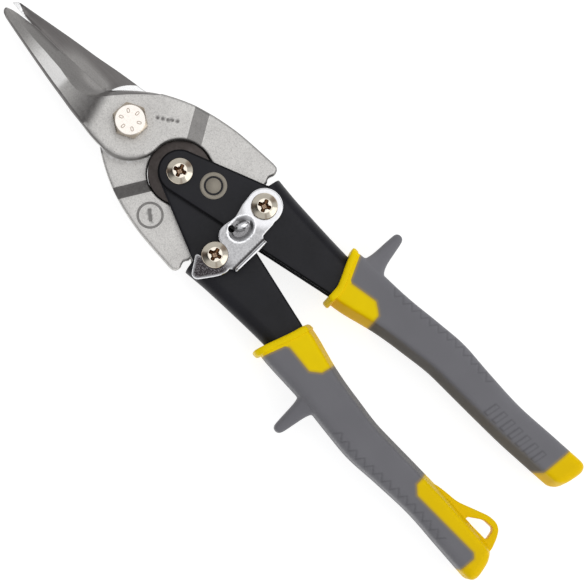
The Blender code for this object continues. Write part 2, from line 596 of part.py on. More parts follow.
def main():
    clear_scene()
    steel = material("forged_steel", STEEL, 0.38, 1.0)
    black = material("black_paint", BLACK, 0.42, 0.0)
    chrome = material("chrome_plate", CHROME, 0.18, 1.0)
    nickel = material("nickel_plate", NICKEL, 0.25, 1.0)
    spring_steel = material("spring_steel", (0.10, 0.095, 0.09), 0.4, 1.0)
    yellow = material("hard_yellow", YELLOW, 0.4, 0.0)
    grey = material("soft_grey", GREY, 0.6, 0.0)

    frame = bpy.data.objects.new("snips_frame", None)
    bpy.context.scene.collection.objects.link(frame)
    frame.location = (-MID_X * MM, 0.0, -REST_Z * MM)
    left = body_empty("left_handle_axis", HANDLE_PIVOT, frame)
    right = body_empty("right_handle_axis", HANDLE_PIVOT, frame)
    rear = body_empty("rear_blade_axis", LEFT_LINK, frame)
    front = body_empty("front_blade_axis", PIVOT, frame)
    latched = body_empty("latch_axis", RIGHT_LINK, frame)

    blade("front_blade", FRONT_JAW_BACK, 2.4, front, False, steel)
    blade("rear_blade", REAR_JAW_BACK, 1.8, rear, True, steel)
    pivot_bolt(front, nickel)
    pivot_nut(front, nickel)

    channel_handle("right_handle", right, False, black)
    channel_handle("left_handle", left, True, black)

    wall_front, left_front = CHANNEL_FRONT_Z, -CHANNEL_BACK_Z
    wall_back, right_back = -CHANNEL_FRONT_Z, CHANNEL_BACK_Z
    over_latch = LATCH_Z + LATCH_T + GAP
    cross_screw("handle_pivot_screw", HANDLE_PIVOT, wall_front + GAP, wall_back + 1.0, left, nickel)
    barrel_nut("handle_pivot_nut", HANDLE_PIVOT, wall_back - GAP, wall_front, left, nickel)
    cross_screw("right_link_screw", RIGHT_LINK, over_latch, right_back + 1.0, right, nickel)
    barrel_nut("right_link_nut", RIGHT_LINK, right_back - GAP, over_latch - 0.15, right, nickel)
    cross_screw("left_link_screw", LEFT_LINK, over_latch, wall_back + 1.0, left, nickel)
    barrel_nut("left_link_nut", LEFT_LINK, wall_back - GAP, left_front, left, nickel)

    inner_front, inner_back = CHANNEL_FRONT_Z - WALL, CHANNEL_BACK_Z + WALL
    for side, centre, body, flip in (("right", RIGHT_LINK, right, 1), ("left", LEFT_LINK, left, -1)):
        near = sorted((flip * (TAIL_FRONT_Z + GAP), flip * (inner_front - GAP)))
        far = sorted((flip * (TAIL_BACK_Z - GAP), flip * (inner_back + GAP)))
        front_faces, back_faces = (near, far) if flip == 1 else (far, near)
        washer(f"{side}_link_washer_front", centre, 4.6, BARREL_HOLE_R, *front_faces, body, nickel, 24)
        washer(f"{side}_link_washer_back", centre, 4.6, BARREL_HOLE_R, *back_faces, body, nickel, 24)

    return_spring(left, spring_steel)
    washer("spring_disc_front", HANDLE_PIVOT, DISC_R, BARREL_HOLE_R, DISC_Z, DISC_Z + DISC_T, left, steel)
    washer("spring_disc_back", HANDLE_PIVOT, DISC_R, BARREL_HOLE_R, -DISC_Z - DISC_T, -DISC_Z, left, steel)

    latch(latched, chrome)
    washer("latch_washer", RIGHT_LINK, 5.2, BARREL_HOLE_R, wall_front + GAP, LATCH_Z - GAP, right, chrome)

    grip_core("right_grip_core", [COLLAR_PANEL, RIGHT_CAP], RIGHT_COLLAR_X, right, False, yellow)
    overmould("right_grip_overmould", [COLLAR_PANEL, RIGHT_CAP], RIGHT_COLLAR_X, RIGHT_GUARD_X, right, False, grey)
    grip_core("left_grip_core", [COLLAR_PANEL, LEFT_STRIP], LEFT_COLLAR_X, left, True, yellow, loop=True)
    overmould("left_grip_overmould", [COLLAR_PANEL, LEFT_STRIP], LEFT_COLLAR_X, LEFT_GUARD_X, left, True, grey)


main()
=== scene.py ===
import json
import math

import bmesh
import bpy
import numpy as np
from mathutils import Matrix, Vector
from mathutils.geometry import delaunay_2d_cdt

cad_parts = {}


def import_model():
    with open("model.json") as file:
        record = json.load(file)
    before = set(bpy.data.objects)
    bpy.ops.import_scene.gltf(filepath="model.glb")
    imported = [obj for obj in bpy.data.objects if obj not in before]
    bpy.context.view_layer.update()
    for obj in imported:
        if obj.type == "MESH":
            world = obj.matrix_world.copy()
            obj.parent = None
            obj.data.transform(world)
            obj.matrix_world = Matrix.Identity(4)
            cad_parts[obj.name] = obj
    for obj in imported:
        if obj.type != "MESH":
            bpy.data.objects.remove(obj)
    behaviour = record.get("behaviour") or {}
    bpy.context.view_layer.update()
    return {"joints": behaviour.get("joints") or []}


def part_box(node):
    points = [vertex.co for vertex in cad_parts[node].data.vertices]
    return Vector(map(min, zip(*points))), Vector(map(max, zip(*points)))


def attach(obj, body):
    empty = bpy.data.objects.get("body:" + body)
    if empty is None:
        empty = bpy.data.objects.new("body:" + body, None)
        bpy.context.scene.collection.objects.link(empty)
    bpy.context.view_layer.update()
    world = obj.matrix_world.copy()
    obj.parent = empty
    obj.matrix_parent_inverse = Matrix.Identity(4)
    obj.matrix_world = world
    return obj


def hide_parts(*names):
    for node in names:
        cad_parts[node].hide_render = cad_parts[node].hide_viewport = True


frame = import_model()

# Lengths below are millimetres in the design frame: the main pivot is the origin, +X runs to the blade
# tips and Z = 0 is the tool's middle plane. A piece with side -1 is the same forming turned half round X.
MM = 0.001
HINGES = {joint["name"]: Vector(joint["pos_m"]) for joint in frame["joints"]}
ORIGIN = HINGES["blade_pivot"]


def in_design(name):
    place = (HINGES[name] - ORIGIN) / MM
    return (place.x, place.y)


def levels(node):
    """Lowest and highest Z of a CAD node, in the design frame."""
    low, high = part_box(node)
    return (low.z - ORIGIN.z) / MM, (high.z - ORIGIN.z) / MM


PIVOT = (0.0, 0.0)
HANDLE_PIVOT = in_design("handle_hinge")
RIGHT_LINK = in_design("latch_hinge")
LEFT_LINK = in_design("rear_blade_hinge")
TAIL_BACK_Z, BOSS_Z = levels("front_blade")
CHANNEL_BACK_Z, CHANNEL_FRONT_Z = levels("right_handle")
LATCH_Z = levels("latch")[0]
REST_Z = levels("pivot_nut")[0]
TAIL_FRONT_Z, INNER_Z = 3.45, 0.15
WALL = 1.2


# ---- curves in the plane ----

def through(knots):
    """A smooth function of numpy arrays through the knots, with no overshoot between them."""
    knots = sorted(knots)
    xs = np.array([k[0] for k in knots], float)
    ys = np.array([k[1] for k in knots], float)
    step = np.diff(ys) / np.diff(xs)
    slope = np.concatenate([step[:1], np.zeros(len(xs) - 2), step[-1:]])
    for i in range(1, len(xs) - 1):
        if step[i - 1] * step[i] > 0:
            slope[i] = 2 * step[i - 1] * step[i] / (step[i - 1] + step[i])

    def at(x):
        x = np.asarray(x, float)
        i = np.clip(np.searchsorted(xs, x) - 1, 0, len(xs) - 2)
        h = xs[i + 1] - xs[i]
        t = np.clip((x - xs[i]) / h, 0, 1)
        return (ys[i] * (1 + 2 * t) * (1 - t) ** 2 + ys[i + 1] * t * t * (3 - 2 * t)
                + h * slope[i] * t * (1 - t) ** 2 + h * slope[i + 1] * t * t * (t - 1))

    return at


def along(curve, x0, x1, count):
    xs = np.linspace(x0, x1, count)
    return [(float(x), float(y)) for x, y in zip(xs, curve(xs))]


def arc(centre, r, start, end, count):
    angles = np.radians(np.linspace(start, end, count))
    return [(centre[0] + r * math.cos(a), centre[1] + r * math.sin(a)) for a in angles]


def tangent_angle(centre, r, point, turn):
    """Where a line from the point touches the circle, in degrees; turn is +1 or -1 for the side."""
    dx, dy = point[0] - centre[0], point[1] - centre[1]
    return math.degrees(math.atan2(dy, dx) + turn * math.acos(r / math.hypot(dx, dy)))


def resampled(points, spacing):
    """The open polyline with no stretch longer than the spacing. Its own corners stay."""
    out = []
    for a, b in zip(points, points[1:]):
        length = math.hypot(b[0] - a[0], b[1] - a[1])
        if length < 1e-6:
            continue
        n = max(1, math.ceil(length / spacing))
        out += [(a[0] + (b[0] - a[0]) * i / n, a[1] + (b[1] - a[1]) * i / n) for i in range(n)]
    return out + [tuple(points[-1])]


def away(x, y, centre):
    """Distance of each place to a centre."""
    return np.hypot(x - centre[0], y - centre[1])


def off_lines(x, y, outlines):
    """Distance of each place to the nearest of the closed outlines."""
    return distances(np.column_stack([x, y]), outlines)[0]


def smooth_line(points, per=3):
    """A Catmull-Rom curve through the points."""
    p = [np.array(q, float) for q in points[:1] + points + points[-1:]]
    out = []
    for a, b, c, d in zip(p, p[1:], p[2:], p[3:]):
        for t in np.arange(per) / per:
            out.append(tuple(0.5 * (2 * b + (c - a) * t + (2 * a - 5 * b + 4 * c - d) * t * t
                                    + (3 * b - a - 3 * c + d) * t ** 3)))
    return out + [tuple(p[-1])]


def there_and_back(line):
    """An open line as a closed outline of no width."""
    return line + line[-2:0:-1]


def rounded(outline, radii, count=6):
    """The outline with each corner rounded over its own length, where there is room."""
    points = []
    sides = zip(outline[-1:] + outline[:-1], outline, outline[1:] + outline[:1])
    for (before, p, after), radius in zip(sides, np.broadcast_to(radii, len(outline))):
        p = np.array(p)
        a, b = np.array(before) - p, np.array(after) - p
        la, lb = np.linalg.norm(a), np.linalg.norm(b)
        reach = min(radius, la * 0.45, lb * 0.45)
        q0, q1 = p + a / la * reach, p + b / lb * reach
        points += [tuple((1 - t) ** 2 * q0 + 2 * t * (1 - t) * p + t * t * q1)
                   for t in np.linspace(0, 1, count)]
    return points


def turned_outline(centre, turn, outline):
    """The outline turned by an angle and moved to a centre."""
    c, s = math.cos(turn), math.sin(turn)
    return [(centre[0] + u * c - v * s, centre[1] + u * s + v * c) for u, v in outline]


def oblong(half_u, half_v):
    return [(-half_u, -half_v), (half_u, -half_v), (half_u, half_v), (-half_u, half_v)]


def area(outline):
    a = np.array(outline)
    b = np.roll(a, -1, axis=0)
    return 0.5 * float(np.sum(a[:, 0] * b[:, 1] - b[:, 0] * a[:, 1]))


def inside(points, outline):
    """Which points lie in the closed outline."""
    points, poly = np.asarray(points, float), np.asarray(outline, float)
    ends = np.roll(poly, -1, axis=0)
    found = np.zeros(len(points), bool)
    for (x0, y0), (x1, y1) in zip(poly, ends):
        crosses = (y0 > points[:, 1]) != (y1 > points[:, 1])
        if y0 != y1:
            at = x0 + (points[:, 1] - y0) * (x1 - x0) / (y1 - y0)
            found ^= crosses & (points[:, 0] < at)
    return found


def distances(points, outlines, values=None):
    """Distance of each point to the nearest side of the closed outlines, and that side's value."""
    points = np.asarray(points, float)
    best = np.full(len(points), 1e9)
    value = np.zeros(len(points))
    for k, outline in enumerate(outlines):
        a = np.asarray(outline, float)
        b = np.roll(a, -1, axis=0)
        for i in range(len(a)):
            side = b[i] - a[i]
            t = np.clip(((points - a[i]) @ side) / max(side @ side, 1e-12), 0, 1)
            d = np.linalg.norm(points - a[i] - t[:, None] * side, axis=1)
            nearer = d < best
            best[nearer] = d[nearer]
            if values is not None:
                value[nearer] = values[k][i]
    return best, value


def smoothstep(x, low, high):
    t = np.clip((np.asarray(x, float) - low) / (high - low), 0, 1)
    return t * t * (3 - 2 * t)


# ---- meshes ----

def world(points, side=1):
    points = np.asarray(points, float).copy()
    points[:, 1:] *= side
    return points * MM + np.array(ORIGIN)


def to_design(points, side):
    """The way back from world()."""
    points = (points - np.array(ORIGIN)) / MM
    points[:, 1:] *= side
    return points


def linked(name, data):
    obj = bpy.data.objects.new(name, data)
    bpy.context.scene.collection.objects.link(obj)
    return obj


def make(name, verts, faces, mat, body, slot, replaces=(), side=1, sharp=0):
    """A piece of the visual model: a mesh from design-frame points, riding on a body."""
    mesh = bpy.data.meshes.new(name)
    faces = [tuple(int(i) for i in f) for f in faces]
    mesh.from_pydata([Vector(v) for v in world(verts, side)], [], faces)
    bm = bmesh.new()
    bm.from_mesh(mesh)
    bmesh.ops.recalc_face_normals(bm, faces=bm.faces)
    bm.to_mesh(mesh)
    bm.free()
    obj = linked(name, mesh)
    finish_piece(obj, mat, body, slot, replaces, sharp)
    return obj


def finish_piece(obj, mat, body, slot, replaces, sharp):
    """Material, shading with sharp edges over this angle, body and the CAD nodes it stands for. The slot is not
    used.
    """
    if mat:
        obj.data.materials.clear()
        obj.data.materials.append(mat)
    obj.data.shade_smooth()
    if sharp:
        obj.data.set_sharp_from_angle(angle=math.radians(sharp))
    if body:
        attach(obj, body)
    if replaces:
        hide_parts(*replaces)


def helper(name, shape, side=1):
    """A cutter or building block that isn't part of the model."""
    return make(name, *shape, None, None, None, side=side)


def apply_all(obj):
    """Bakes the object's modifiers into its mesh."""
    graph = bpy.context.evaluated_depsgraph_get()
    graph.update()
    mesh = bpy.data.meshes.new_from_object(obj.evaluated_get(graph))
    obj.modifiers.clear()
    obj.data = mesh
    return obj


def combine(obj, other, operation):
    """A Boolean, which uses the other object up."""
    modifier = obj.modifiers.new("combine", "BOOLEAN")
    modifier.operation = operation
    modifier.object = other
    modifier.use_self = False
    apply_all(obj)
    bpy.data.objects.remove(other)


def carve(obj, shape, side=1):
    combine(obj, helper("cutter", shape, side), "DIFFERENCE")


def join(obj, shape, side=1):
    combine(obj, helper("addition", shape, side), "UNION")


def remesh(obj, size):
    """Voxel remesh and smoothing, which rounds every edge as a moulding has it."""
    modifier = obj.modifiers.new("remesh", "REMESH")
    modifier.mode = "VOXEL"
    modifier.voxel_size = size * MM
    relax = obj.modifiers.new("relax", "SMOOTH")
    relax.factor = 0.5
    relax.iterations = 6
    apply_all(obj)


def bevel(obj, width, segments, angle):
    """Rounds the sharp edges. Points closer than a tenth of the width are joined first."""
    bm = bmesh.new()
    bm.from_mesh(obj.data)
    bmesh.ops.remove_doubles(bm, verts=bm.verts, dist=0.1 * width * MM)
    bmesh.ops.dissolve_degenerate(bm, edges=bm.edges, dist=0.1 * width * MM)
    bm.to_mesh(obj.data)
    bm.free()
    modifier = obj.modifiers.new("bevel", "BEVEL")
    modifier.width = width * MM
    modifier.segments = segments
    modifier.limit_method = "ANGLE"
    modifier.angle_limit = math.radians(angle)
    return apply_all(obj)


def loft(rings):
    n = len(rings[0])
    verts = [p for ring in rings for p in ring]
    faces = [(i * n + j, i * n + (j + 1) % n, (i + 1) * n + (j + 1) % n, (i + 1) * n + j)
             for i in range(len(rings) - 1) for j in range(n)]
    last = (len(rings) - 1) * n
    return verts, faces + [tuple(range(n)), tuple(range(last, last + n))]


def prism(outline, z0, z1):
    return loft([[(x, y, z) for x, y in outline] for z in (z0, z1)])


def circle(centre, r, z, count):
    return [(x, y, z) for x, y in arc(centre, r, 0, 360 - 360 / count, count)]


def turned(centre, profile, steps=72):
    return loft([circle(centre, r, z, steps) for r, z in profile])


def wrapped(loops):
    """A ring-shaped solid through closed loops, the last joined to the first."""
    m, n = len(loops), len(loops[0])
    faces = [(i * n + j, i * n + (j + 1) % n, (i + 1) % m * n + (j + 1) % n, (i + 1) % m * n + j)
             for i in range(m) for j in range(n)]
    return [p for loop in loops for p in loop], faces


def ring_solid(centre, profile, steps=72):
    return wrapped([circle(centre, r, z, steps) for r, z in profile])


CREASE_GAP, HOLE_ROUNDING, ROW_HEIGHT = 0.12, 0.25, 0.87
SIDE_ROWS = (0.08, 0.25, 0.5, 0.75, 1.0)
ROUND_TOP, ROUND_BOTTOM, MOST_ROUNDING = 1.3, 0.7, 0.42


def fine_loops(outline, round_to, holes, edge):
    """Every outline with sides no longer than the edge, and how far its rounding reaches at each point."""
    loops, reach = [], []
    for loop, r in [(outline, round_to)] + [(hole, HOLE_ROUNDING) for hole in holes]:
        stretches = [resampled(pair, edge)[:-1] for pair in zip(loop, loop[1:] + loop[:1])]
        loops.append(np.array([p for stretch in stretches for p in stretch]))
        reach.append(np.repeat(np.broadcast_to(np.array(r, float), len(loop)), [len(s) for s in stretches]))
    return loops, reach


def side_rows(loops, reach, rows, within):
    """Rows of points along the outlines, at these shares of how far the rounding reaches."""
    near = []
    for fine, rs in zip(loops, reach):
        run = (np.roll(fine, -1, axis=0) - fine) + (fine - np.roll(fine, 1, axis=0))
        normal = np.column_stack([-run[:, 1], run[:, 0]])
        normal /= np.maximum(np.linalg.norm(normal, axis=1), 1e-9)[:, None]
        for share in rows:
            for sign in (1, -1):
                ring = fine + normal * (rs * share)[:, None] * sign
                d, _ = distances(ring, loops)
                near += [tuple(p) for p in ring[within(ring) & (d > 0.93 * rs * share) & (rs * share > 0.03)]]
    return np.array(near)


def triangulated(coords, edges, within):
    """Triangles over the points inside the outline, all wound the same way. They follow the edges."""
    flat = delaunay_2d_cdt([Vector(p) for p in coords], edges, [], 0, 1e-4, False)
    points = np.array([tuple(p) for p in flat[0]])
    faces = np.array([f for f in flat[2] if len(f) == 3])
    a, b, c = (points[faces[:, i]] for i in range(3))
    twice = (b - a)[:, 0] * (c - a)[:, 1] - (b - a)[:, 1] * (c - a)[:, 0]
    keep = within(points[faces].mean(axis=1)) & (np.abs(twice) > 1e-7)
    faces, twice = faces[keep], twice[keep]
    faces[twice < 0] = faces[twice < 0][:, ::-1]
    used, index = np.unique(faces, return_inverse=True)
    return points[used], index.reshape(faces.shape)


def slab(outline, round_to, top, bottom, holes=(), lines=(), spacing=1.2, edge=0.7, shape=None,
         rows=SIDE_ROWS):
    """A solid over a plan outline, between two height functions, its edges rounded.

    round_to is how far in from the sides the rounding reaches, one number or one for each point. Lines
    are creases that the triangles follow. The shape maps (x, y, height) to the piece's own space.
    """
    loops, reach = fine_loops(outline, round_to, holes, edge)

    def within(points):
        return inside(points, outline) & ~np.any([inside(points, hole) for hole in holes], axis=0)

    coords, edges, creases = [], [], []
    for fine in loops:
        base, n = len(coords), len(fine)
        coords += [tuple(p) for p in fine]
        edges += [(base + i, base + (i + 1) % n) for i in range(n)]
    for line in lines:
        fine = np.array(resampled(line, edge))
        keep = np.flatnonzero(inside(fine, outline) & (distances(fine, loops)[0] > CREASE_GAP))
        index = {i: len(coords) + k for k, i in enumerate(keep)}
        edges += [(index[i], index[i + 1]) for i in index if i + 1 in index]
        coords += [tuple(fine[i]) for i in keep]
        creases += [fine[i] for i in keep]

    def off_creases(points, gap):
        if not creases or not len(points):
            return points
        return points[np.linalg.norm(points[:, None] - np.array(creases), axis=2).min(axis=1) > gap]

    low, high = loops[0].min(axis=0), loops[0].max(axis=0)
    xs, ys = np.arange(low[0], high[0], spacing), np.arange(low[1], high[1], spacing * ROW_HEIGHT)
    grid = np.array([(x + (j % 2) * spacing / 2, y) for j, y in enumerate(ys) for x in xs])
    d, r = distances(grid, loops, reach)
    grid = grid[within(grid) & (d > np.maximum(r * 1.15, 0.2) + 0.25 * spacing)]
    for points, gap in ((side_rows(loops, reach, rows, within), CREASE_GAP), (grid, 0.4 * spacing)):
        coords += [tuple(p) for p in off_creases(points, gap)]

    points, faces = triangulated(coords, edges, within)
    n = len(points)
    d, r = distances(points, loops, reach)
    t = np.clip(1 - d / np.maximum(r, 1e-6), 0, 1)
    drop = (1 - np.sqrt(np.maximum(1 - t * t, 0))) * r
    high, low = top(*points.T), bottom(*points.T)
    most = (high - low) * MOST_ROUNDING
    heights = high - np.minimum(drop * ROUND_TOP, most), low + np.minimum(drop * ROUND_BOTTOM, most)
    verts = np.concatenate([np.column_stack([points, z]) for z in heights])
    sides = dict.fromkeys((int(f[i]), int(f[(i + 1) % 3])) for f in faces for i in range(3))
    walls = [(a + n, b + n, b, a) for a, b in sides if (b, a) not in sides]
    solid = [tuple(f) for f in faces] + [tuple(int(i) + n for i in f[::-1]) for f in faces] + walls
    return (shape(*verts.T) if shape else verts), solid


# ---- materials ----

class Nodes:
    """One node tree. A node's inputs are given by name or number, each a socket to link or a value."""

    def __init__(self, tree):
        self.tree = tree

    def put(self, value, socket):
        if isinstance(value, bpy.types.NodeSocket):
            self.tree.links.new(value, socket)
        elif socket.type == "RGBA":
            socket.default_value = (*value, 1)
        else:
            socket.default_value = value

    def node(self, kind, inputs, **settings):
        made = self.tree.nodes.new(kind)
        for name, value in settings.items():
            setattr(made, name, value)
        for key, value in inputs.items():
            self.put(value, made.inputs[key])
        return made


class Finish(Nodes):
    """A Principled material, built up from procedural nodes in object space."""

    def __init__(self, name, colour, metallic, roughness):
        self.mat = bpy.data.materials.new(name)
        self.mat.use_nodes = True
        super().__init__(self.mat.node_tree)
        self.shader = self.tree.nodes["Principled BSDF"]
        self.place = self.node("ShaderNodeTexCoord", {}).outputs["Object"]
        self.set("Base Color", colour)
        self.set("Metallic", metallic)
        self.set("Roughness", roughness)

    def set(self, name, value):
        self.put(value, self.shader.inputs[name])

    def noise(self, size, detail=3.0, rough=0.55, stretch=(1, 1, 1), turn=0.0):
        """Noise whose features are about this many millimetres across."""
        place = self.node("ShaderNodeMapping", {
            "Vector": self.place, "Scale": stretch, "Rotation": (0, 0, turn)}).outputs["Vector"]
        return self.node("ShaderNodeTexNoise", {
            "Vector": place, "Scale": 1 / (size * MM), "Detail": detail, "Roughness": rough}).outputs["Fac"]

    def ramp(self, value, stops):
        made = self.node("ShaderNodeValToRGB", {"Fac": value})
        band = made.color_ramp
        while len(band.elements) < len(stops):
            band.elements.new(0.5)
        for element, (at, colour) in zip(band.elements, stops):
            element.position = at
            element.color = (*(colour if isinstance(colour, tuple) else (colour,) * 3), 1)
        return made.outputs["Color"]

    def rough(self, size, stops, detail=4):
        """Roughness that varies between two values over noise of this size."""
        self.set("Roughness", self.ramp(self.noise(size, detail), stops))

    def mix(self, share, a, b, mode="MIX"):
        made = self.node("ShaderNodeMix", {0: share}, data_type="RGBA", blend_type=mode)
        self.put(a, made.inputs[6])
        self.put(b, made.inputs[7])
        return made.outputs[2]

    def zone(self, channel):
        """One of the three masks painted on the mesh."""
        masks = self.node("ShaderNodeAttribute", {}, attribute_name="zones").outputs["Color"]
        return self.node("ShaderNodeSeparateColor", {"Color": masks}).outputs[channel]

    def bump(self, height, strength, depth):
        """Adds relief of this depth in millimetres, over any earlier relief."""
        made = self.node("ShaderNodeBump", {"Height": height, "Strength": strength, "Distance": depth * MM})
        before = self.shader.inputs["Normal"]
        if before.is_linked:
            self.tree.links.new(before.links[0].from_socket, made.inputs["Normal"])
        self.tree.links.new(made.outputs["Normal"], before)


# Tints of the painted highlight and the painted shade on plated metal.
HIGHLIGHT_TINT, SHADE_TINT = (0.84, 0.79, 0.735), (0.33, 0.235, 0.165)
GROUND_DARK, GROUND_LIGHT = (0.168, 0.158, 0.153), (0.208, 0.198, 0.193)
POLISHED = (0.88, 0.88, 0.88)
PAINT_DARK, PAINT_LIGHT = (0.0115, 0.0115, 0.0145), (0.0175, 0.0175, 0.0225)


def forged_steel():
    """Blasted forging, with the zones red = ground dark, green = polished, and a painted highlight on the
    ridge, blue = painted shade, and the etched dots' own dark.
    """
    f = Finish("forged_steel", (0.65, 0.63, 0.61), 0.9, 0.45)
    grain = f.noise(0.5, 4)
    fine = f.noise(0.16, 2)
    cloud = f.noise(9.0, 3)
    colour = f.ramp(cloud, [(0.3, (0.62, 0.605, 0.585)), (0.7, (0.7, 0.685, 0.66))])
    grit = f.ramp(f.noise(0.42, 2, 0.7), [(0.3, 0.8), (0.5, 1.0), (0.72, 1.12)])
    colour = f.mix(1.0, colour, grit, "MULTIPLY")
    specks = f.ramp(f.noise(0.7, 1), [(0.24, 0.0), (0.3, 1.0)])
    colour = f.mix(specks, (0.46, 0.44, 0.42), colour)
    drawn = f.noise(0.35, 4, 0.6, (0.08, 1, 1), 0.12)
    ground = f.ramp(drawn, [(0.25, GROUND_DARK), (0.75, GROUND_LIGHT)])
    shaded = f.ramp(f.noise(1.2, 3, 0.6), [(0.3, (0.075, 0.07, 0.068)), (0.7, (0.13, 0.123, 0.12))])
    # The blue zone mixes in the colour of the painted shade.
    colour = f.mix(f.zone("Blue"), colour, shaded)
    colour = f.mix(f.zone("Red"), colour, ground)
    colour = f.mix(f.zone("Green"), colour, POLISHED)
    f.set("Base Color", colour)
    rough = f.ramp(grain, [(0.2, 0.42), (0.8, 0.56)])
    rough = f.mix(f.zone("Red"), rough, f.ramp(drawn, [(0.2, 0.34), (0.8, 0.46)]))
    rough = f.mix(f.zone("Green"), rough, f.ramp(drawn, [(0.2, 0.2), (0.8, 0.3)]))
    f.set("Roughness", rough)
    f.bump(fine, 0.3, 0.03)
    f.bump(grain, 0.25, 0.05)
    return f.mat


def black_paint(name, depth, gloss):
    """Satin black paint; depth scales its colour. Darker and duller, it is the painted shade along a handle's
    inner edge.
    """
    f = Finish(name, (0.014, 0.0145, 0.017), 0.0, 0.42)
    low, high = (tuple(depth * c for c in shade) for shade in (PAINT_DARK, PAINT_LIGHT))
    f.set("Base Color", f.ramp(f.noise(16.0, 3), [(0.3, low), (0.7, high)]))
    f.rough(1.1, [(0.25, 0.32), (0.8, 0.46)])
    f.set("Specular IOR Level", gloss)
    f.bump(f.noise(0.45, 3), 0.28, 0.03)
    f.bump(f.noise(2.4, 2), 0.15, 0.05)
    return f.mat


def plated(name, light, dark, rough):
    """Plated metal, with the zones green = a painted highlight and blue = painted shade and painted dark
    reflections.
    """
    f = Finish(name, light, 1.0, rough[0])
    colour = f.ramp(f.noise(2.2, 4), [(0.3, dark), (0.65, light)])
    colour = f.mix(f.zone("Green"), colour, HIGHLIGHT_TINT)
    f.set("Base Color", f.mix(f.zone("Blue"), colour, SHADE_TINT))
    f.rough(0.8, [(0.25, rough[0]), (0.75, rough[1])])
    f.bump(f.noise(0.6, 3), 0.08, 0.01)
    return f.mat


def bright_zinc():
    """Spangled zinc plate, with the zones green = painted highlights and blue = darker and speckled, as on the
    hook, and painted shade.
    """
    f = Finish("bright_zinc", (0.6, 0.6, 0.63), 1.0, 0.2)
    spangle = f.noise(0.6, 2, 0.7)
    colour = f.ramp(spangle, [(0.36, (0.34, 0.338, 0.345)), (0.6, (0.44, 0.438, 0.445))])
    dark_and_shaded = f.ramp(f.noise(0.4, 2, 0.7), [(0.5, (0.03, 0.026, 0.028)), (0.7, (0.2, 0.19, 0.2))])
    colour = f.mix(f.zone("Blue"), colour, dark_and_shaded)
    colour = f.mix(f.zone("Green"), colour, (0.9, 0.9, 0.92))
    f.set("Base Color", colour)
    f.rough(0.8, [(0.25, 0.13), (0.75, 0.27)])
    f.bump(spangle, 0.3, 0.04)
    return f.mat


def moulded(name, light, dark, rough, grain, bled, wall_shade_and_end_tone=(0, 0, 0), shine=0.18, sheen=0.0):
    """Moulded plastic: red = the other shot's colour bled in, green = painted shade on the walls towards the
    other handle and a deeper tone towards the far end, blue = painted shade in the relief.
    """
    f = Finish(name, light, 0.0, rough[0])
    colour = f.ramp(f.noise(14.0, 3), [(0.3, dark), (0.7, light)])
    # The blue zone is a darker copy of the plastic, as painted shade.
    for channel, tint in (("Green", wall_shade_and_end_tone), ("Red", bled), ("Blue", tuple(0.45 * c for c in dark))):
        colour = f.mix(f.zone(channel), colour, tint)
    f.set("Base Color", colour)
    f.rough(3.5, [(0.25, rough[0]), (0.75, rough[1])])
    f.bump(f.noise(0.28, 3), grain, 0.025)
    f.bump(f.noise(5.0, 2), 0.1, 0.06)
    f.set("Specular IOR Level", shine)
    if sheen:
        f.set("Sheen Weight", sheen)
        f.set("Sheen Roughness", 0.5)
    return f.mat


def read(elements, attribute, width=3, kind=np.float32):
    """One attribute of all the vertices, faces or corners of a mesh."""
    values = np.empty(len(elements) * width, kind)
    elements.foreach_get(attribute, values)
    return values.reshape(-1, width)


def paint_zones(obj, masks, side=1):
    """Stores three masks at the mesh's face corners, each a function of design (x, y, z)."""
    mesh = obj.data
    corner = read(mesh.loops, "vertex_index", 1, np.int32)[:, 0]
    totals = read(mesh.polygons, "loop_total", 1, np.int32)[:, 0]
    points = to_design(read(mesh.vertices, "co"), side)
    centres = to_design(read(mesh.polygons, "center"), side)
    at = points[corner] * 0.96 + np.repeat(centres, totals, axis=0) * 0.04
    colour = np.zeros((len(at), 4), np.float32)
    colour[:, 3] = 1
    for i, mask in enumerate(masks):
        colour[:, i] = np.clip(mask(*at.T), 0, 1)
    layer = mesh.color_attributes.new("zones", "FLOAT_COLOR", "CORNER")
    layer.data.foreach_set("color", colour.ravel())


def nowhere(x, y, z):
    return 0 * x


# ---- blades ----

FRONT_CUT = [(57.3, 2.0), (55.6, 1.4), (53.4, 0.9), (51.0, 0.55), (48.5, 0.2), (46.4, -0.25), (44.0, -0.45),
             (38.8, -0.5), (30.0, -0.8), (21.7, -1.3), (15.6, -1.6), (13.7, -1.9)]
REAR_CUT = [(57.5, 0.55), (55.2, 0.3), (53.0, 0.1), (50.2, 0.0), (46.4, -0.3), (38.8, -0.5), (30.0, -0.8),
            (21.7, -1.3), (15.6, -1.6), (13.7, -1.9)]
BLADE_BACK = [(13.7, -1.9), (10.5, -5.0), (6.0, -9.3), (1.0, -13.3), (-5.0, -16.8), (-12.0, -19.9),
              (-20.0, -22.3), (-30.0, -24.0), (-44.0, -24.9)]
TAIL_END = [(-45.6, -24.75), (-46.5, -24.1), (-46.9, -23.1), (-46.9, -22.1), (-46.5, -21.2), (-46.25, -20.3),
            (-46.5, -19.5), (-47.1, -18.7)]
FRONT_OUTER = [(-1.1, 12.95), (5.4, 12.8), (8.8, 12.4), (12.1, 11.95), (15.7, 11.6), (22.3, 10.6), (29.0, 9.6),
               (35.5, 8.5), (42.0, 7.35), (48.6, 6.15), (55.1, 4.9)]
REAR_OUTER = [(-1.1, 12.7), (4.5, 11.5), (9.5, 10.65), (14.1, 9.9), (18.6, 9.05), (23.4, 8.1), (32.6, 6.6),
              (41.9, 4.9), (51.3, 3.15), (55.2, 2.45)]
FRONT_TIP = [(56.7, 4.35), (57.5, 3.6), (57.7, 2.8)]
REAR_TIP = [(56.1, 2.15), (56.9, 1.4)]
BOSS_R, BEARING_R, NOTCH_R, TAIL_EYE_R = 13.0, 13.1, 11.0, 8.0
BOLT_HOLE_R, LINK_HOLE_R = 3.35, 3.2

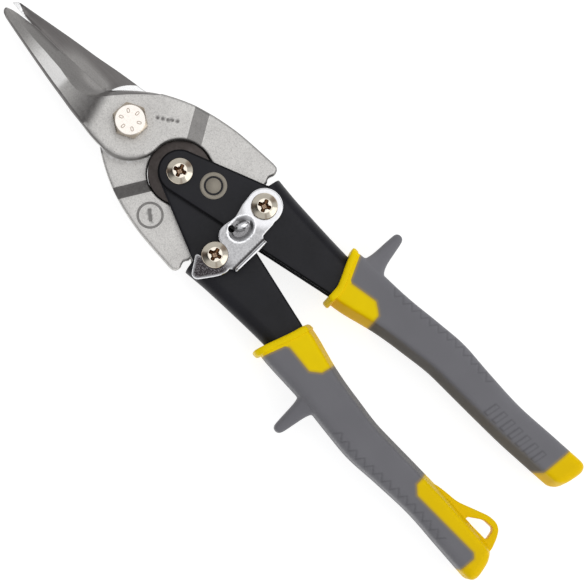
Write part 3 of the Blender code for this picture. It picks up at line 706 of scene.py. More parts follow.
BEVEL_EDGE = [(-0.6, -13.5), (3.5, -9.7), (7.4, -5.6), (10.3, -2.2), (12.7, 0.8), (14.6, 3.1), (16.2, 4.2),
              (18.2, 4.9), (20.6, 5.2), (23.1, 5.15), (26.2, 4.7), (29.6, 4.1), (36.6, 3.6), (43.1, 3.3),
              (47.9, 2.85), (53.0, 2.6), (57.5, 2.4)]
BEVEL_END = BEVEL_EDGE[0][0]
FLANK_WIDTH = through([(11.4, 0.6), (14.7, 0.9), (50.0, 0.6), (57.3, 0.4)])
STEP_DIR = np.array([-0.86, -0.51]) / math.hypot(0.86, 0.51)
STEP_AT, FRONT_RAMP, BACK_RAMP = 20.0, 5.3, 4.4


def line_function(points):
    xs, ys = np.array(points).T
    order = np.argsort(xs)
    return lambda x: np.interp(x, xs[order], ys[order])


def blade_outline(cut, tip, outer):
    """Plan outline, and how far the edge's rounding reaches in at each point."""
    parts = [
        (cut, 0.05),
        (along(through(BLADE_BACK), BLADE_BACK[0][0], BLADE_BACK[-1][0], 44)[1:], 0.95),
        (TAIL_END, 0.9),
        (arc(RIGHT_LINK, TAIL_EYE_R, -48, -285, 26), 0.9),
        (arc(HANDLE_PIVOT, NOTCH_R, -110, -10, 26), 0.9),
        (arc(PIVOT, BOSS_R, 174, 100, 14), 0.95),
        (along(through(outer), outer[0][0], outer[-1][0], 30), 0.5),
        (tip, 0.25),
    ]
    outline, reach = [], []
    for points, r in parts:
        outline += points
        reach += [r] * len(points)
    return outline, reach


def step_lines(start, length):
    """The two creases of the ramp between boss and tail."""
    side = np.array([-STEP_DIR[1], STEP_DIR[0]])
    return [[tuple(STEP_DIR * s + side * w) for w in (-30, 30)] for s in (start, start + length)]


def ramp_share(x, y, length):
    return np.clip((x * STEP_DIR[0] + y * STEP_DIR[1] - STEP_AT) / length, 0, 1)


def flank_edge(outer):
    """Where the ridge flat gives way to the flank, just inside the outer edge of the jaw."""
    edge = line_function(outer)
    return [(float(x), float(edge(x)) - float(FLANK_WIDTH(x))) for x in np.linspace(11.4, 57.3, 30)]


def jaw_lines(cut, outer):
    """The cutting edge run on along the blade's back, the ground bevel's edge and the flank's."""
    low = cut + BLADE_BACK[1:]
    return line_function(low), line_function(BEVEL_EDGE), line_function(flank_edge(outer))


RIDGE = through([(8.0, BOSS_Z), (10.5, BOSS_Z), (13.0, 4.62), (16.0, 4.2), (20.0, 3.68), (24.0, 3.42),
                 (27.0, 3.36), (45.0, 2.8), (58.0, 2.1)])


def outer_face(cut, outer):
    """Height of a blade's outer face: boss, ridge flat with its ground bevel and flank, ramp and tail."""
    v_cut, v_bevel, v_flank = jaw_lines(cut, outer)
    v_outer = line_function(outer + [(57.6, 2.4)])

    def top(x, y):
        tail = BOSS_Z + (TAIL_FRONT_Z - BOSS_Z) * ramp_share(x, y, FRONT_RAMP)
        lean = 0.283 * (y - 1.4) * smoothstep(x, 8, 11) * smoothstep(-x, -24, -16)
        ridge = np.minimum(tail, RIDGE(x + lean))
        t = np.clip((y - v_cut(x)) / np.maximum(v_bevel(x) - v_cut(x), 0.05), 0, 1)
        draft = 1 - smoothstep(x, 10, 14.5)
        power = 1.15 + 1.6 * smoothstep(-x, -26, -15) * (1 - draft)
        low = 0.75 + (BOSS_Z - 1.3 - 0.75) * draft
        bevel = low + (ridge - low) * (draft * (1 - (1 - t) ** 2) + (1 - draft) * t ** power)
        z = np.where((x > BEVEL_END) & (t < 1), bevel, ridge)
        s = np.clip((y - v_flank(x)) / np.maximum(v_outer(x) - v_flank(x), 0.05), 0, 1)
        foot = 1.0 + 2.6 * smoothstep(-x, -20, -11)
        flank = ridge - (ridge - foot) * s ** 1.15
        z = np.where((x > 11.0) & (y > v_flank(x)), np.minimum(z, flank), z)
        return np.where(x < BEVEL_END, tail, z)

    return top


def edge_land(x):
    """Width of the bright land along the cutting edge."""
    return 0.25 + 1.5 * smoothstep(x, 50, 57)


def inner_face(cut, outer):
    """Height of a blade's inner face, towards the other blade, with its hollow grinding and its ramp."""
    v_cut, v_outer = line_function(cut), line_function(outer)

    def bottom(x, y):
        ramp = INNER_Z + (TAIL_BACK_Z - INNER_Z) * ramp_share(x, y, BACK_RAMP)
        land = edge_land(x)
        across = np.clip((y - v_cut(x) - land) / np.maximum(v_outer(x) - v_cut(x) - land, 0.3), 0, 1)
        hollow = 0.5 * np.sin(np.pi * np.sqrt(across))
        hollow = hollow * smoothstep(np.hypot(x, y), BEARING_R, BOSS_R + 1.6)
        return np.where((x > 8) & (y > v_cut(x)), INNER_Z + hollow, ramp)

    return bottom


def blade(name, cut, tip, outer, side, steel):
    outline, reach = blade_outline(cut, tip, outer)
    v_cut = line_function(cut)
    land = [(x, float(v_cut(x) + edge_land(x))) for x in np.linspace(15, 57, 40)]
    bearing = arc(PIVOT, BEARING_R, -20, 100, 40)
    lines = [BEVEL_EDGE, flank_edge(outer), bearing, land, *step_lines(STEP_AT, FRONT_RAMP),
             step_lines(STEP_AT, BACK_RAMP)[1]]
    holes = [arc(PIVOT, BOLT_HOLE_R, 0, 352, 40), arc(RIGHT_LINK, LINK_HOLE_R, 0, 352, 32)]
    faces = outer_face(cut, outer), inner_face(cut, outer)
    obj = helper(name, slab(outline, reach, *faces, holes, lines, spacing=1.1, edge=0.55), side)
    ringed = side < 0  # the ring goes on the rear blade's tail, and the dots on the front blade's boss
    for cutter in mark_cutters() if ringed else dot_cutters():
        carve(obj, cutter, side)
    paint_zones(obj, blade_masks(cut, outer, outline, ringed), side)
    finish_piece(obj, steel, name, "forged_steel", [name], 28)


MARK, MARK_R, MARK_HALF, MARK_TURN = (-27.2, -17.3), 4.2, 0.42, math.radians(38)
BAR = (2.1, 0.48)
DOTS = [(-5.6 - 1.4 * k, -7.5 - 1.0 * k) for k in range(5)]


def mark_cutters():
    """A plain ring with a bar across it, for the face of the tail that shows."""
    deep = TAIL_BACK_Z + 0.28
    a, b = MARK_R - MARK_HALF, MARK_R + MARK_HALF
    return [ring_solid(MARK, [(a, deep), (b, deep), (b, deep - 3), (a, deep - 3)], 64),
            prism(turned_outline(MARK, MARK_TURN, oblong(*BAR)), deep - 3, deep)]


def dot_cutters():
    """A row of shallow punched dots, for the front of the boss."""
    return [turned(centre, [(0.32, BOSS_Z - 0.12), (0.48, BOSS_Z + 1)], 20) for centre in DOTS]


def blade_masks(cut, outer, outline, ringed):
    """Where a blade is ground and polished, and where highlights and shade are painted on it, as functions of
    the place on it.
    """
    v_low, v_bevel, v_flank = jaw_lines(cut, outer)
    v_cut = line_function(cut)

    def on_ramp(x, y, length):
        share = ramp_share(x, y, length)
        return (share > 0.0) & (share < 1.0)

    def ground(x, y, z):
        front = (x > BEVEL_END) & (y > v_low(x) - 1) & (y < v_bevel(x)) & (z > INNER_Z + 0.05)
        off_edge = y - v_cut(x)
        back = (z < 0.9) & (x > 8) & (off_edge > edge_land(x)) & (np.hypot(x, y) > BEARING_R)
        # Painted highlight: the hollow is left lighter near the root along the cutting edge.
        root_highlight = smoothstep(-x, -37, -20) * (1 - smoothstep(off_edge, 2.0, 7.5))
        on_wall = (off_lines(x, y, [outline]) < 0.3) & (z > 0.3) & (x > 13)
        return np.maximum.reduce([0.72 * front, (1 - 0.85 * root_highlight) * back, 0.75 * on_wall])

    def polished(x, y, z):
        on_land = (y < v_cut(x) + edge_land(x)) & (x > 8)
        low = (z < INNER_Z + 0.45) & ((np.hypot(x, y) < BEARING_R) | on_land) & (y > -19)
        # The ridge strip's polish is a painted highlight, strongest between x 27 and 32 and gone by the tip.
        strip = (smoothstep(x, 24.0, 26.6) * smoothstep(-x, -46, -32) * (z > 1.8)
                 * (y > v_bevel(x)) * (y < v_flank(x)))
        return np.maximum(0.9 * low, 0.42 * strip)

    def engraved(x, y, z):
        # The dots keep their etched dark; the ring's and bar's grooves are darkened as painted shade.
        if not ringed:
            near = [away(x, y, dot) < 0.5 for dot in DOTS]
            return 0.8 * np.logical_or.reduce(near) * (z > 2)
        c, s = math.cos(MARK_TURN), math.sin(MARK_TURN)
        u, v = (x - MARK[0]) * c + (y - MARK[1]) * s, (y - MARK[1]) * c - (x - MARK[0]) * s
        on_ring = np.abs(np.hypot(u, v) - MARK_R) < MARK_HALF - 0.005
        on_bar = (np.abs(v) < BAR[1] + 0.02) & (np.abs(u) < BAR[0] + 0.05)
        return 0.72 * (on_ring | on_bar) * (z < TAIL_BACK_Z + 0.4)

    def dark(x, y, z):
        root = 12.4 - 0.283 * (y - 2.7)
        along_root = np.clip((25.4 - x) / (25.4 - root), 0, 1)
        bridge = (0.38 + 0.62 * along_root ** 1.4) * smoothstep(-x, -27.0, -24.4)
        flat = (z > 1.5) * (y > v_bevel(x)) * (y < v_flank(x) + 0.2)
        to_pivot = away(x, y, HANDLE_PIVOT)
        wide = np.where(to_pivot < NOTCH_R + 2, 1.0, 0.75 + 1.0 * (y > 4) * (x < 9))
        # Painted shade on the ramps, at the ridge's root and towards its tip, on the flank, round the boss's
        # rim, at the bevel's root and on the notch's walls, with the engraved marks.
        return np.maximum.reduce([
            0.7 * on_ramp(x, y, FRONT_RAMP) * (z > 2.0),
            0.85 * on_ramp(x, y, BACK_RAMP) * (z < 0.6),
            bridge * smoothstep(x - root, -3.4, 1.4) * flat,
            0.6 * smoothstep(x, 35, 49) * flat,
            0.97 * ((x > 11.4) & (y >= v_flank(x)) & (z > 0.4)),
            0.72 * (1 - smoothstep(off_lines(x, y, [outline]), 0.15, wide)) * (z > 1.5) * (x < 12.5),
            0.4 * (x > BEVEL_END) * (x < 12.7) * (y < v_bevel(x)) * (z > 1),
            1.0 * (to_pivot < NOTCH_R + 0.3) * (z < TAIL_FRONT_Z - 0.3),
            engraved(x, y, z),
        ])

    return ground, polished, dark


# ---- folded handles ----

HANDLE_EYE_R = 7.5
BEND_R = 4.8
WALL_CORNER = (-48.8, 20.2)
INNER_EDGE_END = (-89.5, 6.9)
SPINE = through([(-49.2, 22.3), (-60.0, 21.4), (-86.0, 20.6), (-101.0, 21.6), (-115.0, 22.5), (-131.0, 24.0),
                 (-146.0, 23.4), (-161.0, 22.8), (-176.0, 23.5)])
TANG_INNER = through([(-89.5, 6.9), (-107.0, 12.0), (-120.0, 13.9), (-134.0, 15.4), (-148.0, 15.4),
                      (-163.0, 15.7), (-176.0, 16.4)])
TANG_END_X = -176.0
FOLD_R, EYE_HOLE_R = BEND_R - WALL / 2, 3.0
TURN = FOLD_R * math.pi / 2
WEB = CHANNEL_FRONT_Z - CHANNEL_BACK_Z - 2 * BEND_R
BLANK_WIDTH = 2 * TURN + WEB


def folded(x, w, h):
    """From the flat blank to the channel: w runs across the sheet from the front bend, h through it."""
    spine, h = SPINE(x), h - WALL / 2
    a, b = (np.clip(v / FOLD_R, 0, math.pi / 2) for v in (w, w - TURN - WEB))
    part = [w > BLANK_WIDTH, w > TURN + WEB, w > TURN, w > 0]
    u = np.select(part, [spine - BEND_R - (w - 2 * TURN - WEB), spine - BEND_R + (FOLD_R + h) * np.cos(b),
                         spine - WALL / 2 + h, spine - BEND_R + (FOLD_R + h) * np.sin(a)],
                  spine - BEND_R + w)
    z = np.select(part, [CHANNEL_BACK_Z + WALL / 2 - h, CHANNEL_BACK_Z + BEND_R - (FOLD_R + h) * np.sin(b),
                         CHANNEL_FRONT_Z - BEND_R - (w - TURN),
                         CHANNEL_FRONT_Z - BEND_R + (FOLD_R + h) * np.cos(a)],
                  CHANNEL_FRONT_Z - WALL / 2 + h)
    return np.column_stack([x, -u, z])


def mirrored(line):
    """The same line along the blank's other edge, in the opposite direction."""
    return [(x, BLANK_WIDTH - w) for x, w in reversed(line)]


def on_blank(line):
    return [(x, u - (float(SPINE(x)) - BEND_R)) for x, u in line]


def channel_handle(name, side, paint, shaded_edge_paint):
    top = tangent_angle(HANDLE_PIVOT, HANDLE_EYE_R, WALL_CORNER, -1)
    low = tangent_angle(HANDLE_PIVOT, HANDLE_EYE_R, INNER_EDGE_END, 1) - 360
    eye = arc(HANDLE_PIVOT, HANDLE_EYE_R, low, top, 40)
    edge = (along(TANG_INNER, TANG_END_X, INNER_EDGE_END[0], 16) + resampled([INNER_EDGE_END, eye[0]], 4)[1:-1]
            + eye + resampled([eye[-1], (-48.4, 17.9)], 3)[1:])
    front = on_blank(edge)
    notch = [(-48.75, FOLD_R * math.asin((20.2 - 17.5) / BEND_R)), (-49.15, TURN * 0.86), (-49.2, TURN)]
    outline = front + notch + [(-49.2, TURN + WEB)] + mirrored(front + notch[:-1])
    reach = [0.8] * len(front) + [0.35] * (len(notch) * 2 + 1)
    reach += [0.8] * (len(outline) - len(reach))
    creases = [[(x, w) for x in np.linspace(-49.6, -175.5, 60)]
               for w in (*np.linspace(0, TURN, 9), *np.linspace(TURN + WEB, BLANK_WIDTH, 9))]
    holes = []
    for x, y in (HANDLE_PIVOT, RIGHT_LINK):
        ring = on_blank(arc((x, -y), EYE_HOLE_R, 0, 350, 32))
        holes += [ring, mirrored(ring)]
    blank = slab(outline, reach, lambda x, w: 0 * x + WALL, lambda x, w: 0 * x, holes, creases,
                 spacing=2.2, edge=0.9, shape=folded)
    obj = make(name, *blank, paint, name, "black_paint", [name], side, sharp=50)
    obj.data.materials.append(shaded_edge_paint)
    faces = obj.data.polygons
    centres = to_design(read(faces, "center"), side)
    # Painted shade: the faces along the inner edge take the darker, duller paint.
    shade_band = distances(centres[:, :2], [there_and_back([(x, -u) for x, u in edge])])[0] < 0.6
    shade_band &= np.abs(centres[:, 2]) > CHANNEL_FRONT_Z - WALL - 0.1
    faces.foreach_set("material_index", shade_band.astype(np.int32))


BADGE = (-35.36, -4.65)


def badge(body):
    """A plain printed disc on the front of the right handle, with a ring left black."""
    ink = moulded("badge_ink", (0.36, 0.325, 0.27), (0.32, 0.29, 0.24), (0.45, 0.55), 0.2, (0, 0, 0))
    z0, z1 = CHANNEL_FRONT_Z + 0.02, CHANNEL_FRONT_Z + 0.05
    ring = ring_solid(BADGE, [(3.3, z0), (4.6, z0), (4.6, z1), (3.3, z1)])
    dot = turned(BADGE, [(2.6, z1), (2.6, z0)], 64)
    for name, shape in (("badge_ring", ring), ("badge_dot", dot)):
        make(name, *shape, ink, body, "black_paint")


# ---- latch ----

LATCH_FOLD_X = -59.9
LATCH_TIP_X = -61.25
LATCH_TIP_Z = 11.4
LATCH_SHEET = 1.25
FLANGE_Y = (-3.8, 10.7)
DIMPLE, DIMPLE_SIZE = (-52.4, -0.9), (3.75, 4.75)
NIB, NIB_SIZE = (-51.9, -1.9), (1.25, 2.5)
LATCH_BEND, SIGHT_HOLE = 1.35, (-50.1, 1.5)
QUARTER = LATCH_BEND * math.pi / 2


def dimple_share(x, y):
    return np.hypot((x - DIMPLE[0]) / DIMPLE_SIZE[0], (y - DIMPLE[1]) / DIMPLE_SIZE[1])


def nib_share(x, y):
    lean = 0.3
    u = (x - NIB[0]) * math.cos(lean) - (y - NIB[1]) * math.sin(lean)
    v = (x - NIB[0]) * math.sin(lean) + (y - NIB[1]) * math.cos(lean)
    return np.hypot(u / NIB_SIZE[0], v / NIB_SIZE[1])


def latch_face(x, y):
    """How far the pressed parts of the sheet stand from its plane: an oval dimple with a nib inside."""
    r = dimple_share(x, y)
    dimple = -0.95 * (1 - smoothstep(r, 0.66, 1.02)) + 0.12 * np.exp(-((r - 1.1) / 0.09) ** 2)
    return dimple + 1.15 * np.sqrt(np.maximum(1 - np.minimum(nib_share(x, y), 1) ** 2, 0))


def latch_shape(x, y, h):
    """Folds the flange up along the edge away from the blades."""
    w, h = LATCH_FOLD_X - x, h - LATCH_SHEET / 2
    a = np.clip(w / LATCH_BEND, 0, math.pi / 2)
    base = LATCH_Z + LATCH_SHEET / 2
    px = np.where(w <= 0, x, LATCH_FOLD_X - (LATCH_BEND - h) * np.sin(a))
    pz = np.where(w <= 0, base + h, base + LATCH_BEND - (LATCH_BEND - h) * np.cos(a))
    return np.column_stack([px, y, pz + np.maximum(w - QUARTER, 0)])


def latch(plate):
    x0 = LATCH_FOLD_X - (QUARTER + LATCH_TIP_Z - LATCH_Z - LATCH_SHEET / 2 - LATCH_BEND)
    y0, y1 = FLANGE_Y
    cx, cy = LEFT_LINK
    outline = arc(RIGHT_LINK, 6.4, 14, -190, 40)
    outline += [(-59.1, -9.2), (-59.25, -6.2), (-59.4, -4.6), (-59.9, -4.15)]
    outline += [(x0 + 0.8, y0), (x0, y0 + 0.8), (x0, y1 - 0.8), (x0 + 0.8, y1)]
    outline += smooth_line([(-60.1, 10.9), (-59.5, 11.6), (-59.5, 13.2), (-58.4, 15.7), (-55.4, 20.0),
                            (-54.0, 21.75), (-52.6, 22.1), (-51.3, 21.4), (-49.2, 18.3), (-48.0, 16.5),
                            (-48.1, 15.6), (-48.9, 15.25), (cx + 2.0, cy + 3.1), (cx + 0.3, cy + 2.5)])
    outline += arc(LEFT_LINK, 2.3, 120, 275, 14)
    outline += smooth_line([(-50.9, 7.5), (-49.6, 7.0), (-48.5, 6.1), (-47.6, 4.6), (-47.35, 3.2),
                            (-47.45, 1.6), (-47.9, -1.0), (-47.85, -2.9), (-47.3, -4.9), (-46.7, -6.8)])
    outline.reverse()
    holes = [arc(RIGHT_LINK, EYE_HOLE_R, 0, 350, 32), arc(SIGHT_HOLE, 1.1, 0, 345, 24)]
    folds = [[(LATCH_FOLD_X - w, y) for y in np.linspace(y0, y1, 12)] for w in np.linspace(0, QUARTER, 7)]

    def top(x, y):
        return LATCH_SHEET + latch_face(x, y) * (x > LATCH_FOLD_X)

    def bottom(x, y):
        return -0.45 * (1 - smoothstep(dimple_share(x, y), 0.6, 0.95)) * (x > LATCH_FOLD_X)

    shape = slab(outline, 0.55, top, bottom, holes, folds, 0.62, 0.4, latch_shape)
    obj = make("latch", *shape, plate, "latch", "bright_plate", ["latch"], sharp=50)
    paint_zones(obj, latch_masks(outline))


def latch_masks(outline):
    """Painted highlights on the latch's edges, round its eye, on the dimple's rim, the nib and the tip; darker
    towards the hook, and painted shade in the dimple, on the flange and along the tip.
    """
    def painted_glints(x, y, z):
        flat = np.maximum.reduce([
            1 - smoothstep(off_lines(x, y, [outline]), 0.3, 0.65),
            0.6 * (1 - smoothstep(away(x, y, RIGHT_LINK), 6.0, 8.5)),
            1 - smoothstep(np.abs(dimple_share(x, y) - 1.08), 0.03, 0.11),
            0.9 * (nib_share(x, y) < 0.8),
        ])
        tip = (z > LATCH_TIP_Z - 0.8) * smoothstep(np.abs(x - LATCH_TIP_X), 0.1, 0.3)
        return np.where(x > LATCH_FOLD_X, flat, tip)

    # Darker towards the hook, and painted shade in the dimple, on the upright flange and along the tip.
    def dark_and_shaded(x, y, z):
        return np.maximum.reduce([
            smoothstep(y, 8.0, 13.5),
            0.55 * (1 - smoothstep(dimple_share(x, y), 0.75, 0.98)) * (nib_share(x, y) > 0.9),
            0.8 * (x < LATCH_FOLD_X + 0.2) * (z < LATCH_TIP_Z - 1.4),
            0.7 * (z > LATCH_TIP_Z - 0.8) * (np.abs(x - LATCH_TIP_X) < 0.24) * (x < LATCH_FOLD_X),
        ])

    return nowhere, painted_glints, dark_and_shaded


# ---- fasteners ----

SCREW_R, HEAD_R, HEAD_H = 1.6, 4.55, 1.9
HEAD_PROFILE = ((0.9, 0.1), (1.5, 0.06), (1.95, 0.05), (2.45, 0.09), (2.6, 0.2), (2.8, 0.33), (3.4, 0.71),
                (4.1, 1.06), (4.35, 1.22), (4.5, 1.42), (HEAD_R, 1.62))
NUT_PROFILE = ((0.3, 0.0), (1.2, 0.02), (2.3, 0.12), (3.3, 0.36), (4.1, 0.72), (4.42, 0.98), (HEAD_R, 1.2))
CROSS_DEPTH = 2.3
# Where dark reflections are painted across a screw's cone: angle, half width and darkness.
DARK_REFLECTION_WEDGES = ((45.0, 20.0, 0.8), (-97.0, 26.0, 0.8), (142.7, 9.0, 0.5))
BOLT_TURN = 27.0
HEXAGON_R = 6.3


def finish_fastener(name, obj, width, angle, masks, mat, body):
    bevel(obj, width, 2, angle)
    paint_zones(obj, masks)
    finish_piece(obj, mat, body, "plated_steel", [name], 20)


def tapered(centre, turn, sections):
    return loft([[(*p, z) for p in turned_outline(centre, turn, outline)] for z, outline in sections])


def cross_cutters(centre, top, turn):
    """A tapered cross with a pointed bottom, as two crossed bars and a square."""
    bar = []
    for down, half, wide in ((-0.6, 2.55, 0.8), (0.3, 2.2, 0.66), (1.4, 1.5, 0.5), (CROSS_DEPTH, 0.8, 0.34)):
        edge = [(-half, -wide * 0.6), (-half + 0.3, -wide), (half - 0.3, -wide), (half, -wide * 0.6)]
        bar.append((top - down, edge + [(-u, -v) for u, v in edge]))
    downs = ((-0.6, 1.6), (0.35, 1.4), (CROSS_DEPTH * 0.8, 0.8), (CROSS_DEPTH + 0.2, 0.3))
    square = [(top - down, arc(PIVOT, r, 45, 315, 4)) for down, r in downs]
    return [tapered(centre, turn, bar), tapered(centre, turn + math.pi / 2, bar),
            tapered(centre, turn, square)]


def head_masks(centre, top):
    """Painted shade in a screw's recess and round its rim, painted dark reflections as wedges across its cone,
    and a painted highlight on the flat round the cross.
    """
    def painted_darkening(x, y, z):
        r = away(x, y, centre)
        turn = np.degrees(np.arctan2(y - centre[1], x - centre[0]))
        wedges = [depth * (1 - smoothstep(np.abs((turn - at + 180) % 360 - 180), half * 0.25, half))
                   for at, half, depth in DARK_REFLECTION_WEDGES]
        cone = np.maximum.reduce(wedges) * smoothstep(r, 2.35, 2.9) * (z < top - 0.2)
        return np.maximum.reduce([1.0 * (r < 2.5) * (z < top - 0.13), cone, 0.55 * (r > 4.46)])

    def flat_highlight(x, y, z):
        return 0.3 * (z > top - 0.13) * (away(x, y, centre) < 2.6)

    return nowhere, flat_highlight, painted_darkening


def cross_screw(name, centre, base, end, body, turn, nickel):
    top = base + HEAD_H
    profile = [(r, top - down) for r, down in HEAD_PROFILE]
    profile += [(HEAD_R - 0.03, base + 0.1), (HEAD_R - 0.15, base), (SCREW_R, base), (SCREW_R, end)]
    obj = helper(name, turned(centre, profile, 96))
    for cutter in cross_cutters(centre, top - 0.1, turn):
        carve(obj, cutter)
    finish_fastener(name, obj, 0.07, 40, head_masks(centre, top), nickel, body)


def barrel_nut(name, centre, base, end, body, turn, nickel):
    """The slotted nut behind each screw, its barrel open at the front."""
    bore = SCREW_R + 0.35
    low = base - 1.5
    profile = [(r, low + up) for r, up in NUT_PROFILE]
    profile += [(HEAD_R, base - 0.06), (HEAD_R - 0.1, base), (2.7, base), (2.7, end - 0.15), (2.55, end),
                (bore + 0.1, end), (bore, end - 0.1), (bore, base - 0.6)]
    obj = helper(name, turned(centre, profile))
    slot = turned_outline(centre, turn, oblong(6, 0.6))
    carve(obj, prism(slot, low - 2, low + 0.6))

    # Painted shade in the nut's slot.
    def painted_darkening(x, y, z):
        across = (y - centre[1]) * math.cos(turn) - (x - centre[0]) * math.sin(turn)
        return 0.8 * (np.abs(across) < 0.62) * (z > low + 0.15) * (z < low + 0.7)

    finish_fastener(name, obj, 0.07, 40, (nowhere, nowhere, painted_darkening), nickel, body)


def hexagon(turn):
    """A hexagon with rounded corners."""
    points = []
    for corner in range(6):
        degrees = turn + 60 * corner
        out = np.array([math.cos(math.radians(degrees)), math.sin(math.radians(degrees))])
        centre = out * (HEXAGON_R - 0.5 / math.cos(math.radians(30)))
        points += arc(centre, 0.5, degrees - 30, degrees + 30, 4)
    return points


def stadium(centre, half, r):
    return arc((centre + half, 0), r, -90, 90, 5) + arc((centre - half, 0), r, 90, 270, 5)


def pivot_bolt(body, zinc):
    base = BOSS_Z + 0.3
    top = base + 4.0
    obj = helper("pivot_bolt", prism(hexagon(BOLT_TURN), base, top))
    cone = [(9.0, top - 2.35), (9.0, top + 1.0), (5.05, top + 1.0), (5.05, top - 0.22), (5.3, top - 0.3)]
    carve(obj, ring_solid(PIVOT, cone, 96))
    deep, over = top - 0.14, top + 1
    for k in range(6):
        turn = math.radians(BOLT_TURN + 60 * k)
        outer, inner = (turned_outline(PIVOT, turn, stadium(3.2, 0.35, r)) for r in (0.5, 0.27))
        loops = ((outer, deep), (inner, deep), (inner, over), (outer, over))
        ring = wrapped([[(*p, z) for p in loop] for loop, z in loops])
        carve(obj, ring)
    shank = prism(arc(PIVOT, 3.05, 0, 355, 72), REST_Z + 0.3, base + 1)
    join(obj, shank)

    # Painted highlight: the top disc is painted brighter.
    def bright(x, y, z):
        return 1.0 * (z > top - 0.3) * (np.hypot(x, y) < 5.15)

    # Painted shade in the marks' grooves, and on the cone and flanks round the disc.
    def painted_darkening(x, y, z):
        r = np.hypot(x, y)
        return (z > base) * np.maximum(0.75 * (z < top - 0.08) * (r < 4.6), 0.32 * (r > 5.1))

    finish_fastener("pivot_bolt", obj, 0.05, 35, (nowhere, bright, painted_darkening), zinc, body)


def pivot_nut(body, zinc):
    low, high = REST_Z, -BOSS_Z - 0.3
    obj = helper("pivot_nut", prism(hexagon(25), low, high))
    cone = [(9.0, low + 2.2), (5.6, low), (5.6, low - 1.0), (9.0, low - 1.0)]
    carve(obj, ring_solid(PIVOT, cone, 96))
    bore = [(0.3, low - 1), (3.95, low - 1), (3.95, low), (3.35, low + 0.55), (3.35, high + 1), (0.3, high + 1)]
    carve(obj, turned(PIVOT, bore))
    finish_fastener("pivot_nut", obj, 0.08, 35, (), zinc, body)


def washer(name, body, mat, slot, wider=0.0):
    """A CAD washer again, from its own box, with its edges broken."""
    low, high = (np.array(p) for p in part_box(name))
    x, y, z = ((low + high) / 2 - np.array(ORIGIN)) / MM
    outer, _, half = (high - low) / 2 / MM
    outer, inner, e = outer + wider, EYE_HOLE_R, min(0.12, half * 0.5)
    edge = [(inner, e), (inner + e, 0), (outer - e, 0), (outer - 0.3 * e, 0.3 * e), (outer, e)]
    profile = [(r, z - half + up) for r, up in edge] + [(r, z + half - up) for r, up in reversed(edge)]
    make(name + "_turned", *ring_solid((x, y), profile), mat, body, slot, [name], sharp=30)


# ---- return spring ----

WIRE_R = 0.7


def wire(name, points, mat, body):
    """Round wire along a list of points, its ends rounded."""
    tangents = np.gradient(points, axis=0)
    tangents /= np.linalg.norm(tangents, axis=1)[:, None]
    rings = []
    for i, (p, t) in enumerate(zip(points, tangents)):
        side = np.cross(t, (0, 0, 1.0))
        side /= np.linalg.norm(side)
        up = np.cross(side, t)
        r = WIRE_R * {0: 0.45, 1: 0.85}.get(min(i, len(points) - 1 - i), 1.0)
        rings.append([tuple(p + r * (math.cos(a) * side + math.sin(a) * up))
                      for a in np.radians(np.arange(0, 360, 30))])
    make(name, *loft(rings), mat, body, "spring_steel", ["return_spring"], sharp=60)


def return_spring(wire_steel):
    """Coil and left leg on the left handle; the right leg follows the right handle.

    The coil stops short of the leg by the angle that the handles open, on the side that the blades hide.
    """
    r, exit_angle, steps, split, free = 6.2, math.radians(9), 120, 90, 8
    start, sweep = math.pi / 2 + exit_angle, -(3 * math.pi + 2 * exit_angle)
    turns = start + sweep * np.linspace(0, 1, steps)
    cx, cy = HANDLE_PIVOT
    rise = np.linspace(1.15, -1.15, steps)
    coil = np.column_stack([cx + r * np.cos(turns), cy + r * np.sin(turns), rise])
    out = np.array([0.8, 3, 8, 16, 22, 23.6, 24])[:, None]
    run = np.array([-math.cos(exit_angle), math.sin(exit_angle), 0])
    first = coil[0] + out[::-1] * run * (1, -1, 1)
    last = coil[-1] + out * run
    wire("return_spring_coil", np.concatenate([first, coil[:split - free]]), wire_steel, "left_handle")
    wire("return_spring_leg", np.concatenate([coil[split - 1:], last]), wire_steel, "right_handle")


# ---- grips ----

GRIP_INNER = through([(-84.0, 4.3), (-92.0, 5.4), (-100.0, 7.3), (-107.0, 8.8), (-120.0, 10.8), (-134.0, 12.4),
                      (-148.0, 12.5), (-163.0, 12.7), (-176.0, 13.4), (-192.0, 14.4)])
GRIP_OUTER = through([(-84.0, 23.0), (-94.0, 24.2), (-108.0, 24.8), (-121.0, 26.2), (-133.0, 27.2),
                      (-146.0, 26.4), (-160.0, 25.8), (-175.0, 26.7), (-192.0, 27.9)])
GRIP_HALF = through([(-84.0, 8.6), (-100.0, 8.6), (-117.0, 9.3), (-192.0, 9.3)])
GRIP_TILT = through([(-86.0, 0.32), (-96.0, 0.32), (-118.0, 0.0), (-172.0, 0.0), (-192.0, -0.2)])
GRIP_END_X = -191.0
COLLAR_END_X = -91.5
GRIP_CORNERS = (3.4, 3.4, 1.3, 2.0, 2.0, 1.3)
END_ROUNDING = ((2.7, 0.12), (2.0, 0.4), (1.3, 0.9), (0.75, 1.5), (0.3, 2.3), (0.08, 3.1), (0.0, 4.0))
OVERMOULD_T = 1.2
COLLAR_T = 2.6
DRAFT = 2.3
SEAM = 0.01
SKIN_VOXEL = 0.36

